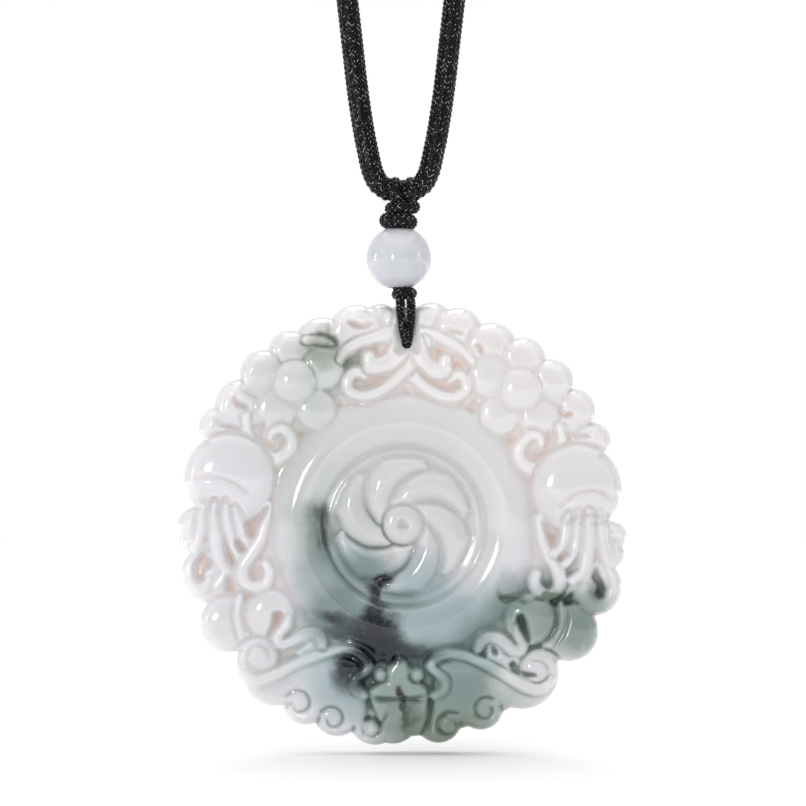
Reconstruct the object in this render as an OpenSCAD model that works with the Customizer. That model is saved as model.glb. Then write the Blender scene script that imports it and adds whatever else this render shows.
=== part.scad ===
// Carved jade disc pendant on a black braided neck cord, hanging.
// Millimetres, +Z up, front towards -Y. The origin is the inner top of the
// neck loop, under its closure, where the loop hangs on a neck or a hook.
// Tables of the carving give places and widths in hundredths of the disc's
// radius, from the disc's centre, x to the right and z up.

/* [Carved disc] */
// Diameter over the rim's lobes
disc_d = 56; // [40:1:70]
// Thickness from the flat back to the highest carving
disc_t = 7; // [5.5:0.1:9]
// Thickness at the ground between the motifs
ground_t = 4.6; // [4:0.1:5]
// Thickness left under the pits
floor_t = 3; // [2:0.1:3.6]
// Rounding of the rim's edges
edge_r = 1.1; // [0.6:0.1:1.4]
// Diameter of the hole for the hanging cord
hole_d = 2.5; // [2.5:0.1:3.2]
// Stone left above the hole
hole_wall = 4; // [3:0.1:6]
// How far the disc's centre hangs to the right of the string
disc_shift = 0.4; // [0:0.1:0.8]

/* [Bead] */
// Diameter of the round bead
bead_d = 8; // [6:0.5:12]
// Bore of the bead
bead_bore = 3; // [3:0.1:3.6]

/* [Cords] */
// Diameter of the braided neck cord
neck_cord_d = 2.6; // [2:0.1:3]
// Diameter of the thin hanging cord
thin_cord_d = 1.14; // [0.9:0.02:1.18]
// Diameter of the cord that makes the knot above the bead
knot_cord_d = 1.14; // [1:0.02:1.3]
// Outer diameter of the knot's lowest turn, which rests on the bead
knot_d = 4.6; // [4.2:0.1:5]
// Room between the neck cord and the loops that turn on it
swing_fit = 0.2; // [0.15:0.05:0.4]
// Room between pieces that touch
seat_fit = 0.05; // [0.03:0.01:0.1]
// Height of the band round the thin cords under the bead
band_h = 1.2; // [1.1:0.1:2]
// Wall of that band
band_wall = 0.42; // [0.3:0.02:0.6]
// Gap between that band and the top of the disc
band_gap = 0.7; // [0.7:0.05:1.2]

/* [Closure] */
// Length of the slide knot at the nape
closure_len = 10; // [7:0.5:16]
// Diameter of the slide knot
closure_d = 5; // [4:0.1:7]

/* [Hidden] */
$fn = 48;

jade_white = [0.86, 0.86, 0.87];
jade_pale = [0.84, 0.85, 0.87];
cord_black = [0.05, 0.05, 0.06];

disc_r = disc_d / 2;
neck_r = neck_cord_d / 2;
thin_r = thin_cord_d / 2;
knot_r = knot_cord_d / 2;
bead_r = bead_d / 2;
hole_r = hole_d / 2;

// Half of the neck cord's route, from the bottom of the loop up to the nape.
neck_half = [
  [1.7, -234], [2.8, -233.2], [3.6, -231.6], [4.1, -229.4], [4.7, -226.4],
  [5.5, -221], [6.3, -214], [8, -199], [11.5, -166], [15, -132], [18.5, -98],
  [22, -65], [25, -38], [26, -25], [24.6, -14.5], [20.5, -6], [14.5, -0.4],
  [9, 2.2]];
neck_end_x = closure_len / 2;
neck_end_z = closure_d / 2;
swing_z = -234;
tube_sides = 8;

// The knot has its turns one above the other, round a core.
knot_turns = 3;
knot_h = knot_turns * knot_cord_d;
lowest_turn = knot_d / 2 - knot_r;
knot_top = swing_z - neck_r - 0.75 * swing_fit;
knot_foot = knot_top - knot_h;
// The lowest turn rests on the bead, the bead on the band under it.
bead_z = knot_foot + knot_r
  - sqrt(pow(bead_r + knot_r + seat_fit, 2) - pow(lowest_turn, 2));
band_top = bead_z - sqrt(bead_r * bead_r - pow(bead_bore / 2, 2)) - seat_fit;
band_foot = band_top - band_h;
rim_z = band_foot - band_gap;
disc_z = rim_z - disc_r;
hole_z = rim_z - hole_wall - hole_r;
// The back stands so far behind the string that the disc hangs upright.
disc_back_y = 0.4 * disc_t;
// The four legs of the thin cord stand two by two.
leg_x = thin_r + seat_fit / 2;
leg_y = thin_r + seat_fit;
// They part to the disc's front and back inside the band.
leg_spread = 1.45;
hole_x = 0.35;

// A point or a width of the carving, from hundredths of the disc's radius.
function share(v) = v * disc_r / 100;

// Curve through the rows of a table, with as many steps between two rows.
function spline(a, b, c, d, t) =
  0.5 * (2 * b + (c - a) * t + (2 * a - 5 * b + 4 * c - d) * t * t
         + (3 * b - a - 3 * c + d) * t * t * t);
function row(rows, i) = rows[max(0, min(len(rows) - 1, i))];
// A curve through all rows of a table, with steps no longer than given.
function even(rows, longest) = concat(
  [for (i = [0:len(rows) - 2])
    let (n = max(1, ceil(norm(rows[i + 1] - rows[i]) / longest)))
    for (k = [0:n - 1])
      spline(row(rows, i - 1), row(rows, i), row(rows, i + 1),
             row(rows, i + 2), k / n)],
  [rows[len(rows) - 1]]);

// Faces of a closed sweep of n rings with m points each.
function sweep_faces(n, m) = concat(
  [[for (k = [0:m - 1]) k]],
  [for (i = [0:n - 2], k = [0:m - 1])
    [i * m + k, (i + 1) * m + k, (i + 1) * m + (k + 1) % m,
     i * m + (k + 1) % m]],
  [[for (k = [m - 1:-1:0]) (n - 1) * m + k]]);

function unit(v) = v / norm(v);
function heading(line, i) =
  unit(row(line, i + 1) - row(line, i - 1));

// Round tube along a line, whose sections keep one side towards `side`.
module tube(line, r, side) {
  rings = [for (i = [0:len(line) - 1])
    let (ahead = heading(line, i), u = unit(cross(ahead, side)),
         v = cross(ahead, u))
    for (k = [0:tube_sides - 1])
      let (a = (k + 0.5) * 360 / tube_sides)
      line[i] + r * (cos(a) * u + sin(a) * v)];
  polyhedron(rings, sweep_faces(len(line), tube_sides), convexity = 10);
}

// The neck cord, one loop but for the closure, which it enters level.
module neck_cord() {
  lead = 3;
  up = concat(neck_half, [[neck_end_x + lead, neck_end_z],
                          [neck_end_x, neck_end_z]]);
  left = [for (i = [len(up) - 1:-1:0]) [-up[i][0], 0, up[i][1]]];
  right = [for (p = up) [p[0], 0, p[1]]];
  color(cord_black)
    tube(even(concat(left, right), 3 * neck_cord_d), neck_r, [0, 1, 0]);
}

// Plain slide knot that joins the neck cord's two ends at the nape.
module closure() {
  turns = 4;
  turn_w = closure_len / turns;
  waist_r = closure_d / 2 - 0.35;
  color(cord_black)
    translate([-closure_len / 2, 0, closure_d / 2])
      rotate([0, 90, 0])
        rotate_extrude()
          polygon(concat([[0, 0], [waist_r, 0]],
            [for (i = [0:turns - 1], s = [[0.25, 1], [0.75, 1], [1, 0]])
              [waist_r + s[1] * (closure_d / 2 - waist_r),
               (i + s[0]) * turn_w]],
            [[0, closure_len]]));
}

// Ring of knot cord, lying flat round the upright axis.
module turn_of_cord(major, minor) {
  rotate_extrude()
    translate([major, 0])
      circle(minor);
}

// Knot above the bead: two loops over the neck cord and turns below it.
module cord_wraps() {
  loop_places = [-1.05, 0.95];
  turn_places = [lowest_turn, lowest_turn + 0.16, lowest_turn - 0.14];
  loop_r = neck_r + swing_fit + knot_r;
  core_r = lowest_turn + 0.05;
  color(cord_black) {
    for (x = loop_places)
      translate([x, 0, swing_z])
        rotate([0, 90, 0])
          turn_of_cord(loop_r, knot_r);
    for (i = [0:knot_turns - 1])
      translate([0, 0, knot_foot + (2 * i + 1) * knot_r])
        turn_of_cord(turn_places[i], knot_r);
    translate([0, 0, knot_foot + 0.08])
      cylinder(h = knot_h - 0.14, r = core_r);
  }
}

// Round bead, drilled upright.
module jade_bead() {
  color(jade_pale)
    translate([0, 0, bead_z])
      difference() {
        sphere(bead_r);
        cylinder(h = bead_d + 1, r = bead_bore / 2, center = true);
      }
}

// One strand: down through the bead, over the disc's front, through its hole
// and up behind it. Rows are y and z.
module strand(side) {
  front_y = lobe_top(top_lobe_h) - disc_back_y + thin_r + 2 * seat_fit;
  back_y = disc_back_y + thin_r + seat_fit;
  room = hole_r - thin_r - seat_fit;
  bite_z = hole_z + sqrt(max(0, room * room - leg_x * leg_x));
  start_z = knot_foot + 0.08 - seat_fit;
  rows = [
    [-leg_y, start_z], [-leg_y, bead_z], [-leg_y, band_top],
    [-leg_spread, band_foot], [-0.83 * front_y, rim_z - 0.35],
    [-front_y, rim_z - 1.6], [-front_y, bite_z + 0.4],
    [-0.86 * front_y, bite_z], [0.86 * back_y, bite_z],
    [back_y, bite_z + 0.4],
    [back_y, rim_z - 1.8], [0.99 * back_y, rim_z - 1.1],
    [0.8 * back_y, rim_z],
    [leg_spread, band_foot], [leg_y, band_top], [leg_y, bead_z],
    [leg_y, start_z]];
  tube([for (p = rows) [side * leg_x + lean(p[1]), p[0], p[1]]],
       thin_r, [1, 0, 0]);
}

// How far the strands lean to the hole, which isn't quite under the string.
function lean(z) =
  let (share_down = (band_foot - z) / (band_foot - hole_z - hole_r))
  max(0, min(1, share_down)) * (disc_shift + hole_x);

// The thin cord below the knot, two strands side by side.
module hanging_cord() {
  color(cord_black) {
    strand(-1);
    strand(1);
  }
}

// Turn of cord that holds the four legs together under the bead, wider below
// where they part.
module hitch_band() {
  inner_x = 2 * (leg_x + thin_r + seat_fit);
  top_y = 2 * (leg_y + 1.15 * thin_r + seat_fit);
  foot_y = 2 * (leg_spread + 1.8 * thin_r + seat_fit);
  color(cord_black)
    translate([0, 0, band_foot])
      difference() {
        band_shape(inner_x, top_y, foot_y, band_wall, 0);
        band_shape(inner_x, top_y, foot_y, 0, 0.1);
      }
}

module band_shape(x, top_y, foot_y, wall, past) {
  slope = (foot_y - top_y) / band_h;
  rotate([90, 0, 90])
    linear_extrude(x + 2 * wall, center = true)
      polygon([[-foot_y / 2 - wall - slope * past / 2, -past],
               [foot_y / 2 + wall + slope * past / 2, -past],
               [top_y / 2 + wall - slope * past / 2, band_h + past],
               [-top_y / 2 - wall + slope * past / 2, band_h + past]]);
}

// Thickness of the stone at a share of the relief above the ground.
function lobe_top(h) = ground_t + h * (disc_t - ground_t);

// Height of the pads' underside above the disc's back.
pad_foot = 0.46;
// Step in height between neighbours.
stagger = 0.032;
// Rim lobes: x, z, radius and height above the ground.
top_lobe_h = 0.15;
rim_lobes = [
  [-10.5, 91, 8.6, 0.2], [-1.5, 89.5, 9.1, 0.19], [4, 89.5, 9.1, 0.11],
  [12.5, 90, 10.2, 0.2], [24.5, 87, 10.8, 0.39], [39.5, 80, 11.2, 0.31],
  [65.5, 64.5, 10.2, 0.3], [76.5, 51.5, 9.7, 0.39], [85, 38, 8, 0.31],
  [94, -5, 6.4, 0.3], [93, -13, 6.6, 0.34], [85.5, -28, 13, 0.16],
  [53, -66, 17, 0.25], [34.5, -82, 10.4, 0.34], [15.5, -87.5, 10.8, 0.26],
  [-5, -86.5, 12.2, 0.3], [-13, -87, 12.2, 0.34], [-30, -84, 11.3, 0.26],
  [-44.3, -80, 10.1, 0.3], [-58, -67, 14.6, 0.24], [-63, -62.5, 12.8, 0.21],
  [-87, -22, 13.4, 0.2], [-94, -6, 7.2, 0.34], [-94, 0, 7.8, 0.31],
  [-83.8, 44.5, 8.5, 0.35], [-73.5, 54, 11.5, 0.34], [-63, 68, 10.8, 0.16],
  [-37, 81, 12.5, 0.35], [-21.5, 87, 12.2, 0.39]];

// Flowers: x, z, and the five petals' x, z and radius round them.
flower_left = [[-49, 64.5, 9.8], [[-51.7, 78.3, 9.2], [-36.5, 70.5, 9.3],
  [-39.5, 52, 8.7], [-57.5, 52, 9.2], [-64, 69, 9.5]]];
flower_right = [[52, 61, 9.8], [[54, 74.8, 9.6], [67, 65, 9.3],
  [60.5, 48.5, 8.8], [43, 50, 9], [38.5, 67, 9.3]]];

// Raised arms and ribbons: x, z and width along each.
arms_top = [
  [[-4, 86, 8], [-12, 84.3, 6], [-20, 82, 5.5], [-26, 78.5, 5],
   [-28.5, 74.5, 4]],
  [[4, 86, 7], [13, 85.5, 5], [20, 82.3, 5], [26, 78.5, 4.5],
   [30.5, 73.5, 4]],
  [[-44, 83, 4], [-40, 83.2, 4], [-35.5, 82.8, 3.6]]];
hooks = [
  [[-15.8, 76, 5.5], [-14.8, 72, 8.2], [-9.5, 71.6, 8.6], [-4.5, 75, 9],
   [-1, 81, 9]],
  [[18.5, 74, 6], [17.6, 69.8, 8.2], [12.3, 70, 8], [8.3, 74.5, 8],
   [5.5, 81, 8]]];
scrolls = [
  [[20.5, 65.6, 4], [24, 67.3, 5], [27.6, 65, 5.4], [27.4, 60.4, 5.4],
   [23, 57.6, 5.2], [17, 58, 5.2], [11, 61, 5.2], [5, 66, 5.4],
   [-1, 72.5, 6], [-4.5, 79, 6]],
  [[-17.8, 67.3, 4.4], [-21.4, 68.6, 5.4], [-25, 65.6, 5.5],
   [-25, 61, 5.5], [-21, 58.4, 5.3], [-15.5, 58.3, 5.2], [-9.5, 60.8, 5.2],
   [-4, 65, 5.5], [1.5, 70.5, 6.3], [6, 76, 7], [9, 82, 7]],
  [[-68.3, 55.5, 3.6], [-69, 48, 4], [-68.3, 41, 4], [-65.3, 34.8, 4],
   [-60.3, 31.2, 4], [-55, 31, 5], [-51.2, 34.5, 6.5], [-52.6, 39, 8]],
  [[68.2, 50, 3.4], [70.3, 43, 4], [69.9, 36, 4], [67, 30, 4],
   [62, 26.3, 4], [56.3, 26.5, 5], [52.3, 30.5, 6.5], [53.8, 35, 8]]];
ribbons = [
  [[-90.5, 7, 5], [-91, -2, 5], [-94, -10.5, 5], [-97.2, -18.5, 4.6],
   [-96, -26, 5], [-91.3, -28.8, 5.4], [-87, -25, 4]],
  [[-85.5, 9, 5.4], [-84.3, 0, 6], [-84, -8, 6], [-82, -15, 6],
   [-79.8, -20.5, 4.6], [-84, -26.5, 4]],
  [[-79.3, 9, 5.4], [-78.2, 0, 5.4], [-76.3, -7, 5], [-74, -13.5, 4.6]],
  [[-74.6, 6, 4.6], [-72.8, -1, 4.4], [-70.5, -7, 4], [-68.3, -11, 3.6]],
  [[-60.8, 9, 3], [-62.3, 2, 4.4], [-64.3, -6, 5.4], [-68.4, -12.5, 5.8],
   [-72, -18.6, 5.2], [-71.5, -24.6, 5.2], [-67, -27.2, 4.8],
   [-61.8, -25.6, 5.4], [-60.2, -20.5, 4.4], [-62, -17, 3]],
  [[60.4, 4, 3], [61.4, -4, 4.4], [64.6, -12, 5.8], [68.6, -19, 5.8],
   [69.6, -25.5, 5.2], [67, -30, 4.8], [61, -30, 5.4], [58.2, -26, 5],
   [59, -22, 4]],
  [[73, 3, 5], [72, -4, 5], [69.5, -9.5, 4.6], [67.3, -12.5, 3.6]],
  [[77.8, 4, 5], [77.5, -4, 5], [75.8, -11, 4.6], [72, -16.5, 4.2]],
  [[83, 4, 6.4], [82.8, -5, 6.6], [82, -13, 6], [79.5, -19.5, 5.4],
   [75.3, -24.3, 3.8]],
  [[88.3, 3, 4.6], [88.8, -7, 5], [90.8, -14, 5.6], [94, -21.5, 6],
   [93.8, -29.5, 6.4], [89.6, -35, 7], [83.3, -34.4, 8], [80.6, -30, 7.6]]];
wings = [
  [[-69.8, -60, 5], [-69.8, -65.5, 5.4], [-64.3, -67.7, 5.4],
   [-57, -65.3, 4.8], [-50, -62.4, 4.4], [-42, -59, 4.2], [-34, -56.3, 4],
   [-26, -55.2, 4], [-19.6, -57.3, 4.4], [-15.9, -61.6, 4.4],
   [-18, -65.6, 4], [-22, -68, 4], [-22.2, -72.4, 4.2], [-18, -75.6, 3.6]],
  [[55, -63, 4.6], [60, -62.6, 5.4], [61, -68, 5.6], [56.5, -71.6, 5.4],
   [50, -69.2, 4.8], [44, -66, 4.4], [36, -61.6, 4.2], [28, -58, 4.1],
   [20, -57.1, 4.2], [14.4, -58.8, 4.4], [11.8, -62.3, 4], [15, -65.8, 3.8],
   [18.3, -69, 4.2], [17.6, -73.4, 4], [13.5, -76, 3.4]],
  [[52.6, -61, 3.6], [55, -57.8, 4.2], [60, -56.8, 4.4], [65.3, -60, 4.8],
   [67, -66.5, 5.2], [64, -73.5, 5.6], [57, -77.6, 6]]];
stems = [
  [[-60, -31, 5], [-53.5, -33.6, 6], [-50.2, -38.6, 5], [-52.3, -44, 5],
   [-56, -48.8, 4.4], [-54.2, -52, 4.2], [-49, -50.4, 5], [-44.6, -46.8, 5],
   [-39, -47.6, 5], [-37.4, -52, 4]],
  [[53, -34.8, 5.4], [47.4, -38.8, 5.8], [47.4, -45, 5.4],
   [51.2, -50.6, 5.4], [51, -56.4, 5], [46, -55.6, 5], [41.4, -50.6, 4.6],
   [35.6, -50.4, 5], [32.4, -55, 4.6]]];

// Pits of a curved strip: x, z and width along each.
trenches = [
  [[-24, 91, 3], [-21, 89.4, 3.2], [-17.5, 89.2, 2], [-14.5, 90.6, 1.6]],
  [[-38.3, 86.1, 1.2], [-35, 85.3, 1.8], [-31.6, 83.6, 3.2],
   [-30.2, 80.6, 2.4], [-34, 80, 1.6], [-37.5, 80.6, 1]],
  [[7, 69.8, 1], [9.4, 67.2, 1.1], [13, 64.4, 1.5], [17, 62.4, 2.2],
   [20.5, 61.2, 2.2], [23.5, 61.2, 1.2]],
  [[19.5, 87.8, 1], [22.5, 86.8, 1.8], [26, 86.3, 1]],
  [[-63, 45.5, 2.4], [-63.9, 41, 3.5], [-62.6, 37.6, 3.8],
   [-59.6, 35.9, 3.4], [-57.3, 36.2, 2]],
  [[64.5, 41.5, 2.4], [65.1, 37, 3.3], [63.4, 33.4, 3.6],
   [60.4, 31.7, 3.6], [58, 32, 2.4]],
  [[-80.5, 43.4, 2.4], [-76, 42.4, 4.6]],
  [[-76, 57, 2], [-74.4, 54.4, 3], [-70.5, 53, 2]],
  [[69.4, 53.5, 2], [71, 49.6, 3], [74.5, 49.8, 2.4]],
  [[43.5, -32.6, 1.4], [48, -31.4, 1.8], [54, -30.6, 1.2]],
  [[-65, -64.4, 1.2], [-60.5, -63.1, 1.4], [-56, -62, 1.2]],
  [[52.8, -66, 1.6], [55.5, -67, 3], [58.3, -66.3, 1.4]]];

// Pits of other outlines: x and z of their corners.
pits = [
  [[-10.5, 82], [-10.3, 77], [-12, 76.2], [-14, 78.4], [-16.5, 78.3],
   [-18.6, 76.5], [-18.8, 73], [-18, 71.6], [-22, 71.4], [-27, 69.6],
   [-28.3, 71.2], [-26, 75], [-20, 79.2], [-14, 81.2]],
  [[-21.5, 63], [-19.8, 61.8], [-16.5, 61.4], [-13, 62.3], [-9.5, 64.6],
   [-3.5, 70], [-8.5, 68.2], [-14.8, 67.2], [-15.4, 65.4], [-18.5, 64.4]],
  [[-4.8, 59.2], [-1.4, 61.4], [0.6, 63.3], [2.4, 61.6], [5, 59],
   [1.5, 58.3]],
  [[13.2, 82.5], [17, 80.2], [22.3, 77], [20.4, 77.5], [18, 77.4],
   [16.5, 76], [15, 75.2], [13, 77.6]],
  [[22.3, 75.2], [25.5, 74.4], [29.5, 70.6], [26, 70.2], [21.7, 69.9],
   [21.4, 72]],
  [[31.6, 81], [34, 81.8], [35.6, 79.4], [35.8, 76.8], [34, 76.8]],
  [[-31.4, 59.4], [-30.2, 57], [-29.9, 51], [-25.6, 53.2], [-28, 57]],
  [[31.6, 58.4], [29.8, 56], [26.4, 52.4], [30.8, 49.2], [32.7, 50],
   [32.9, 53.2], [34, 56.2]],
  [[-51.3, 44.8], [-45, 43.6], [-41.4, 43.3], [-45.5, 38], [-47, 37],
   [-48, 41]],
  [[41.4, 40.9], [46, 40.4], [53.3, 41.2], [50, 37.4], [48, 35.2],
   [44.4, 38.8]],
  [[73.6, 41], [76, 39.8], [83.4, 39.2], [83.6, 35.6], [76.2, 34.5],
   [75, 37.5]],
  [[-71.3, 0.4], [-70, 2.4], [-66, 4.4], [-60.8, 9.4], [-60, 8],
   [-65.4, -1], [-66.8, -5], [-68.5, -5.8], [-70.4, -4]],
  [[-75.4, -5.4], [-73.4, -6.4], [-70.6, -10], [-71.2, -12], [-73.5, -12],
   [-75.3, -9]],
  [[-80.4, -11], [-78, -10], [-75.7, -14.5], [-75.2, -17.4],
   [-77.4, -17.8], [-79.4, -15]],
  [[-68.8, -20.5], [-66.6, -17.4], [-64.5, -15.6], [-64.2, -19],
   [-65.2, -22.5], [-67, -23.8], [-68.8, -23.2]],
  [[-93.3, -15], [-89.2, -11.2], [-88, -13.5], [-85.8, -16], [-86, -18.6],
   [-89, -20.6], [-89.2, -24.2], [-91.5, -25.6], [-94.2, -22.6],
   [-94.8, -18.6]],
  [[-79.3, -22.4], [-77, -22.5], [-74.8, -27.4], [-75, -30], [-81, -30.6],
   [-80, -27]],
  [[61.4, 2], [63.5, -1], [66.5, -2.4], [69.2, -4], [69, -7.5],
   [67, -10.4], [65.5, -9.5], [63.6, -5]],
  [[67.8, -15.2], [70, -12.6], [74.2, -10.8], [74, -13], [71.5, -15],
   [70, -16.6]],
  [[72.4, -20.6], [76, -19.2], [78.8, -15.8], [78, -19.4], [74.8, -22.3],
   [72.8, -22.2]],
  [[62.2, -20.6], [64, -21.6], [66, -25.5], [65.4, -28.2], [63.6, -28.4],
   [62.2, -26.5]],
  [[83.2, -23.3], [85.2, -18.4], [86.6, -18.6], [88.5, -23],
   [90.2, -28], [89.4, -31.8], [87, -32.4], [85.4, -30.4], [86, -27]],
  [[70.8, -34.4], [73, -30.6], [75.4, -28.7], [76, -31], [75.3, -35.1],
   [72.6, -35.6]],
  [[-58.6, -40], [-57, -38], [-53.7, -38.5], [-53.7, -41],
   [-55.7, -44.5], [-58, -47.8], [-60, -49.6], [-60.3, -47]],
  [[-57.2, -53.4], [-52, -53.6], [-46, -51.4], [-43.7, -52], [-47, -54.6],
   [-51.6, -58], [-52.4, -60.2], [-55.5, -61.2], [-56.3, -58]],
  [[50.6, -42], [53, -40.7], [54.4, -43], [55.3, -49], [56.4, -53],
   [55.2, -52.6], [53.6, -48], [50.8, -45.6]],
  [[38.6, -54], [40, -53.2], [42, -56], [41.5, -57.8], [39.7, -57.4]],
  [[46.6, -62], [48.5, -60.2], [50.4, -61], [50.2, -65.2], [47.6, -63.8]],
  [[-18.8, -69], [-17.4, -68.1], [-16.1, -69], [-15.9, -72.8],
   [-17, -72.8], [-18.8, -71.4]],
  [[11.2, -70], [12.5, -68.5], [14.1, -70], [13.9, -72.8], [12.5, -73.8],
   [11.2, -72.4]],
  [[-13.3, -60], [-9, -59.4], [-5.6, -60], [-8, -63.3], [-10.6, -63.2],
   [-12.9, -64.2]],
  [[1.2, -60.8], [4, -60.6], [8.4, -60.8], [9.3, -62.4], [8, -64.4],
   [5, -63.4], [2.2, -63.8]]];

// Incised lines: x, z and width along each.
grooves = [
  [[-93.5, 21.4, 0.8], [-87, 22, 1.2], [-80, 21, 1.2], [-74.5, 18.6, 1.2],
   [-70, 15.2, 0.6]],
  [[-93, 11.2, 0.8], [-86, 12, 1.2], [-79.5, 11, 0.8]],
  [[70, 9, 0.8], [75, 13.5, 1.2], [81.5, 15.5, 1.2], [88, 15, 1.2],
   [94.5, 10.4, 0.8]],
  [[73, 1.5, 0.8], [78.5, 4.6, 1.2], [84, 5, 1.2], [93, 4, 0.8]],
  [[-77, -31.5, 1], [-77, -39, 1.4], [-76.4, -46, 1.4], [-74.5, -53, 1]],
  [[-70.5, -31, 1], [-71, -39, 1.4], [-70.6, -46, 1.4], [-69, -51, 1]],
  [[67.6, -35, 1], [66.8, -43, 1.4], [64.4, -48, 1.4], [60.5, -53, 1]],
  [[72.6, -37, 1], [72, -45, 1.4], [69.4, -50.5, 1.4], [65.4, -54.6, 1]],
  [[-16.5, -75.2, 0.8], [-11, -76.8, 1.1], [-2, -77.4, 1.1],
   [5, -77, 1.1], [10, -75.2, 0.8]],
  [[-15.4, -78, 0.8], [-13, -84, 1], [-10.6, -88.4, 1], [-6, -79.6, 0.8]],
  [[12, -78, 0.8], [11.4, -84, 1], [10, -89.4, 1], [6.4, -94, 0.8]]];

// Round eyes and knobs of the bat: x, z, radius.
bat_knobs = [
  [-10.8, -66.8, 2.9], [5.8, -66.8, 3.1], [-14.7, -90.6, 3.4],
  [18.3, -88.8, 3.4]];
// Curled lines in the wings: x, z, radius, and where they start.
swirls = [
  [-47, -79.4, 6.4, 150], [-32, -86.4, 6, 150], [-14.7, -90.6, 4.8, 120],
  [20.3, -89.4, 6.4, 60], [36.6, -82.4, 6, 60]];

// Petals of the round in the middle, all alike: x, z and width along one.
rosette_centre = [-0.5, 0.5];
rosette_petals = 6;
rosette_petal = [
  [1, 10.4, 9], [5.4, 15.4, 12.6], [12.6, 17.2, 15.6], [20.4, 14.2, 15],
  [26.4, 7.6, 10.6], [29.6, -0.6, 5.4]];
button_r = 8.8;
button_pit_r = 2;

// Raised strip along a row table, its ends rounded, between two thicknesses.
// `crown` is the share of its half width that stays flat on top.
module strip(rows, low, high, crown) {
  last = len(rows) - 1;
  cap = 0.42;
  ended = concat(
    [tip_row(rows[0], unit_2d(rows[0] - rows[1]), cap)], rows,
    [tip_row(rows[last], unit_2d(rows[last] - rows[last - 1]), cap)]);
  ridge(ended, [[-1, low], [-crown, high], [crown, high], [1, low]]);
}

// Bar along a row table: its section's points are across, as shares of the
// half width there, and up.
module ridge(rows, section) {
  points = [for (i = [0:len(rows) - 1])
    let (way = unit_2d(row(rows, i + 1) - row(rows, i - 1)),
         across = [way[1], -way[0]] * share(rows[i][2]) / 2,
         at = [share(rows[i][0]), share(rows[i][1])])
    for (s = section)
      concat(at + across * s[0], [s[1]])];
  polyhedron(points, sweep_faces(len(rows), len(section)), convexity = 10);
}

// Cutter of an incised line with a sharp bottom.
module line_cutter(rows, low) {
  spread = 1 + 2 * (disc_t + 1 - low) / disc_t;
  ridge(rows, [[0, low], [-spread, disc_t + 1], [spread, disc_t + 1]]);
}

// Cutter of a flat-bottomed curved pit.
module trench_cutter(rows, low) {
  spread = 1.15;
  ridge(rows, [[-1, low], [-spread, disc_t + 1], [spread, disc_t + 1],
               [1, low]]);
}

// Several strips, each a little higher than the one before, as where one
// passes over another.
module strips(table, high) {
  for (i = [0:len(table) - 1])
    strip(table[i], ground_t - 0.4, high + stagger * i, 0.5);
}

function unit_2d(v) = [v[0], v[1]] / norm([v[0], v[1]]);
function tip_row(r, way, cap) =
  [r[0] + way[0] * r[2] * cap, r[1] + way[1] * r[2] * cap, r[2] * 0.42];

// Rows of a curled line, one turn, closing in.
function swirl(k) =
  let (steps = 6, way = k[0] < 0 ? -1 : 1)
  [for (i = [0:steps])
    let (a = k[3] + way * i * 300 / steps, r = k[2] * (1 - 0.55 * i / steps))
    [k[0] + r * cos(a), k[1] + r * sin(a), 1.2]];

// Round boss with a domed top.
module boss(x, z, r, low, high, sides) {
  lift = [0, 50];
  translate([share(x), share(z), 0])
    hull() {
      translate([0, 0, low])
        cylinder(h = 0.01, r = share(r), $fn = sides);
      for (a = lift)
        translate([0, 0, low + (high - low) * (0.35 + 0.65 * sin(a))
                   - (a == 0 ? 0 : 0.01)])
          cylinder(h = 0.01, r = share(r) * cos(a), $fn = sides);
    }
}

// Rounded pad of the rim, from just above the back to its own top.
module rim_lobe(p, foot) {
  r = share(p[2]);
  sides = 12;
  translate([share(p[0]), share(p[1]), foot])
    hull() {
      cylinder(h = edge_r, r1 = r - edge_r, r2 = r, $fn = sides);
      cylinder(h = lobe_top(p[3]) - foot, r = r - edge_r, $fn = sides);
    }
}

module flower(f) {
  petal_top = lobe_top(0.72);
  for (p = f[1])
    boss(p[0], p[1], p[2], edge_r, petal_top, 14);
  boss(f[0][0], f[0][1], f[0][2], ground_t, lobe_top(0.98), 16);
}

// Pouch with a round belly; x, z, radius.
module pouch(x, z, r) {
  boss(x, z, r, edge_r, disc_t, 24);
}

// Gourd of two swellings; each is x, z, radius.
module gourd(low, high) {
  boss(low[0], low[1], low[2], edge_r, lobe_top(0.8), 18);
  boss(high[0], high[1], high[2], floor_t, lobe_top(0.85), 16);
}

// Ring in the middle, convex, with a groove inside it.
module bi_ring() {
  profile = [[35.6, -0.15], [38, 0.6], [43, 0.8], [50, 0.82], [55, 0.62],
             [58.6, -0.15]];
  rotate_extrude($fn = 48)
    polygon(concat([[share(profile[0][0]), floor_t]],
      [for (p = profile) [share(p[0]), lobe_top(p[1])]],
      [[share(58.6), floor_t]]));
}

module rosette() {
  turn = 360 / rosette_petals;
  translate([share(rosette_centre[0]), share(rosette_centre[1]), 0]) {
    for (i = [0:rosette_petals - 1])
      rotate(i * turn)
        strip(rosette_petal, ground_t - 0.2, lobe_top(0.5), 0.5);
    boss(0, 0, button_r, ground_t, lobe_top(0.8), 16);
  }
}

// Head of the bat between its wings, seen from above.
module bat_head() {
  outline = [[-3.6, -57.4], [-0.6, -57.4], [2.6, -63], [10.6, -71.5],
             [11.6, -76.4], [14, -83], [8.8, -94.2], [-9.6, -94.2],
             [-15.2, -85], [-17, -76.6], [-14.6, -71.5], [-6.4, -62.2]];
  translate([0, 0, floor_t])
    linear_extrude(lobe_top(0.62) - floor_t)
      polygon([for (p = outline) [share(p[0]), share(p[1])]]);
}

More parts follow.
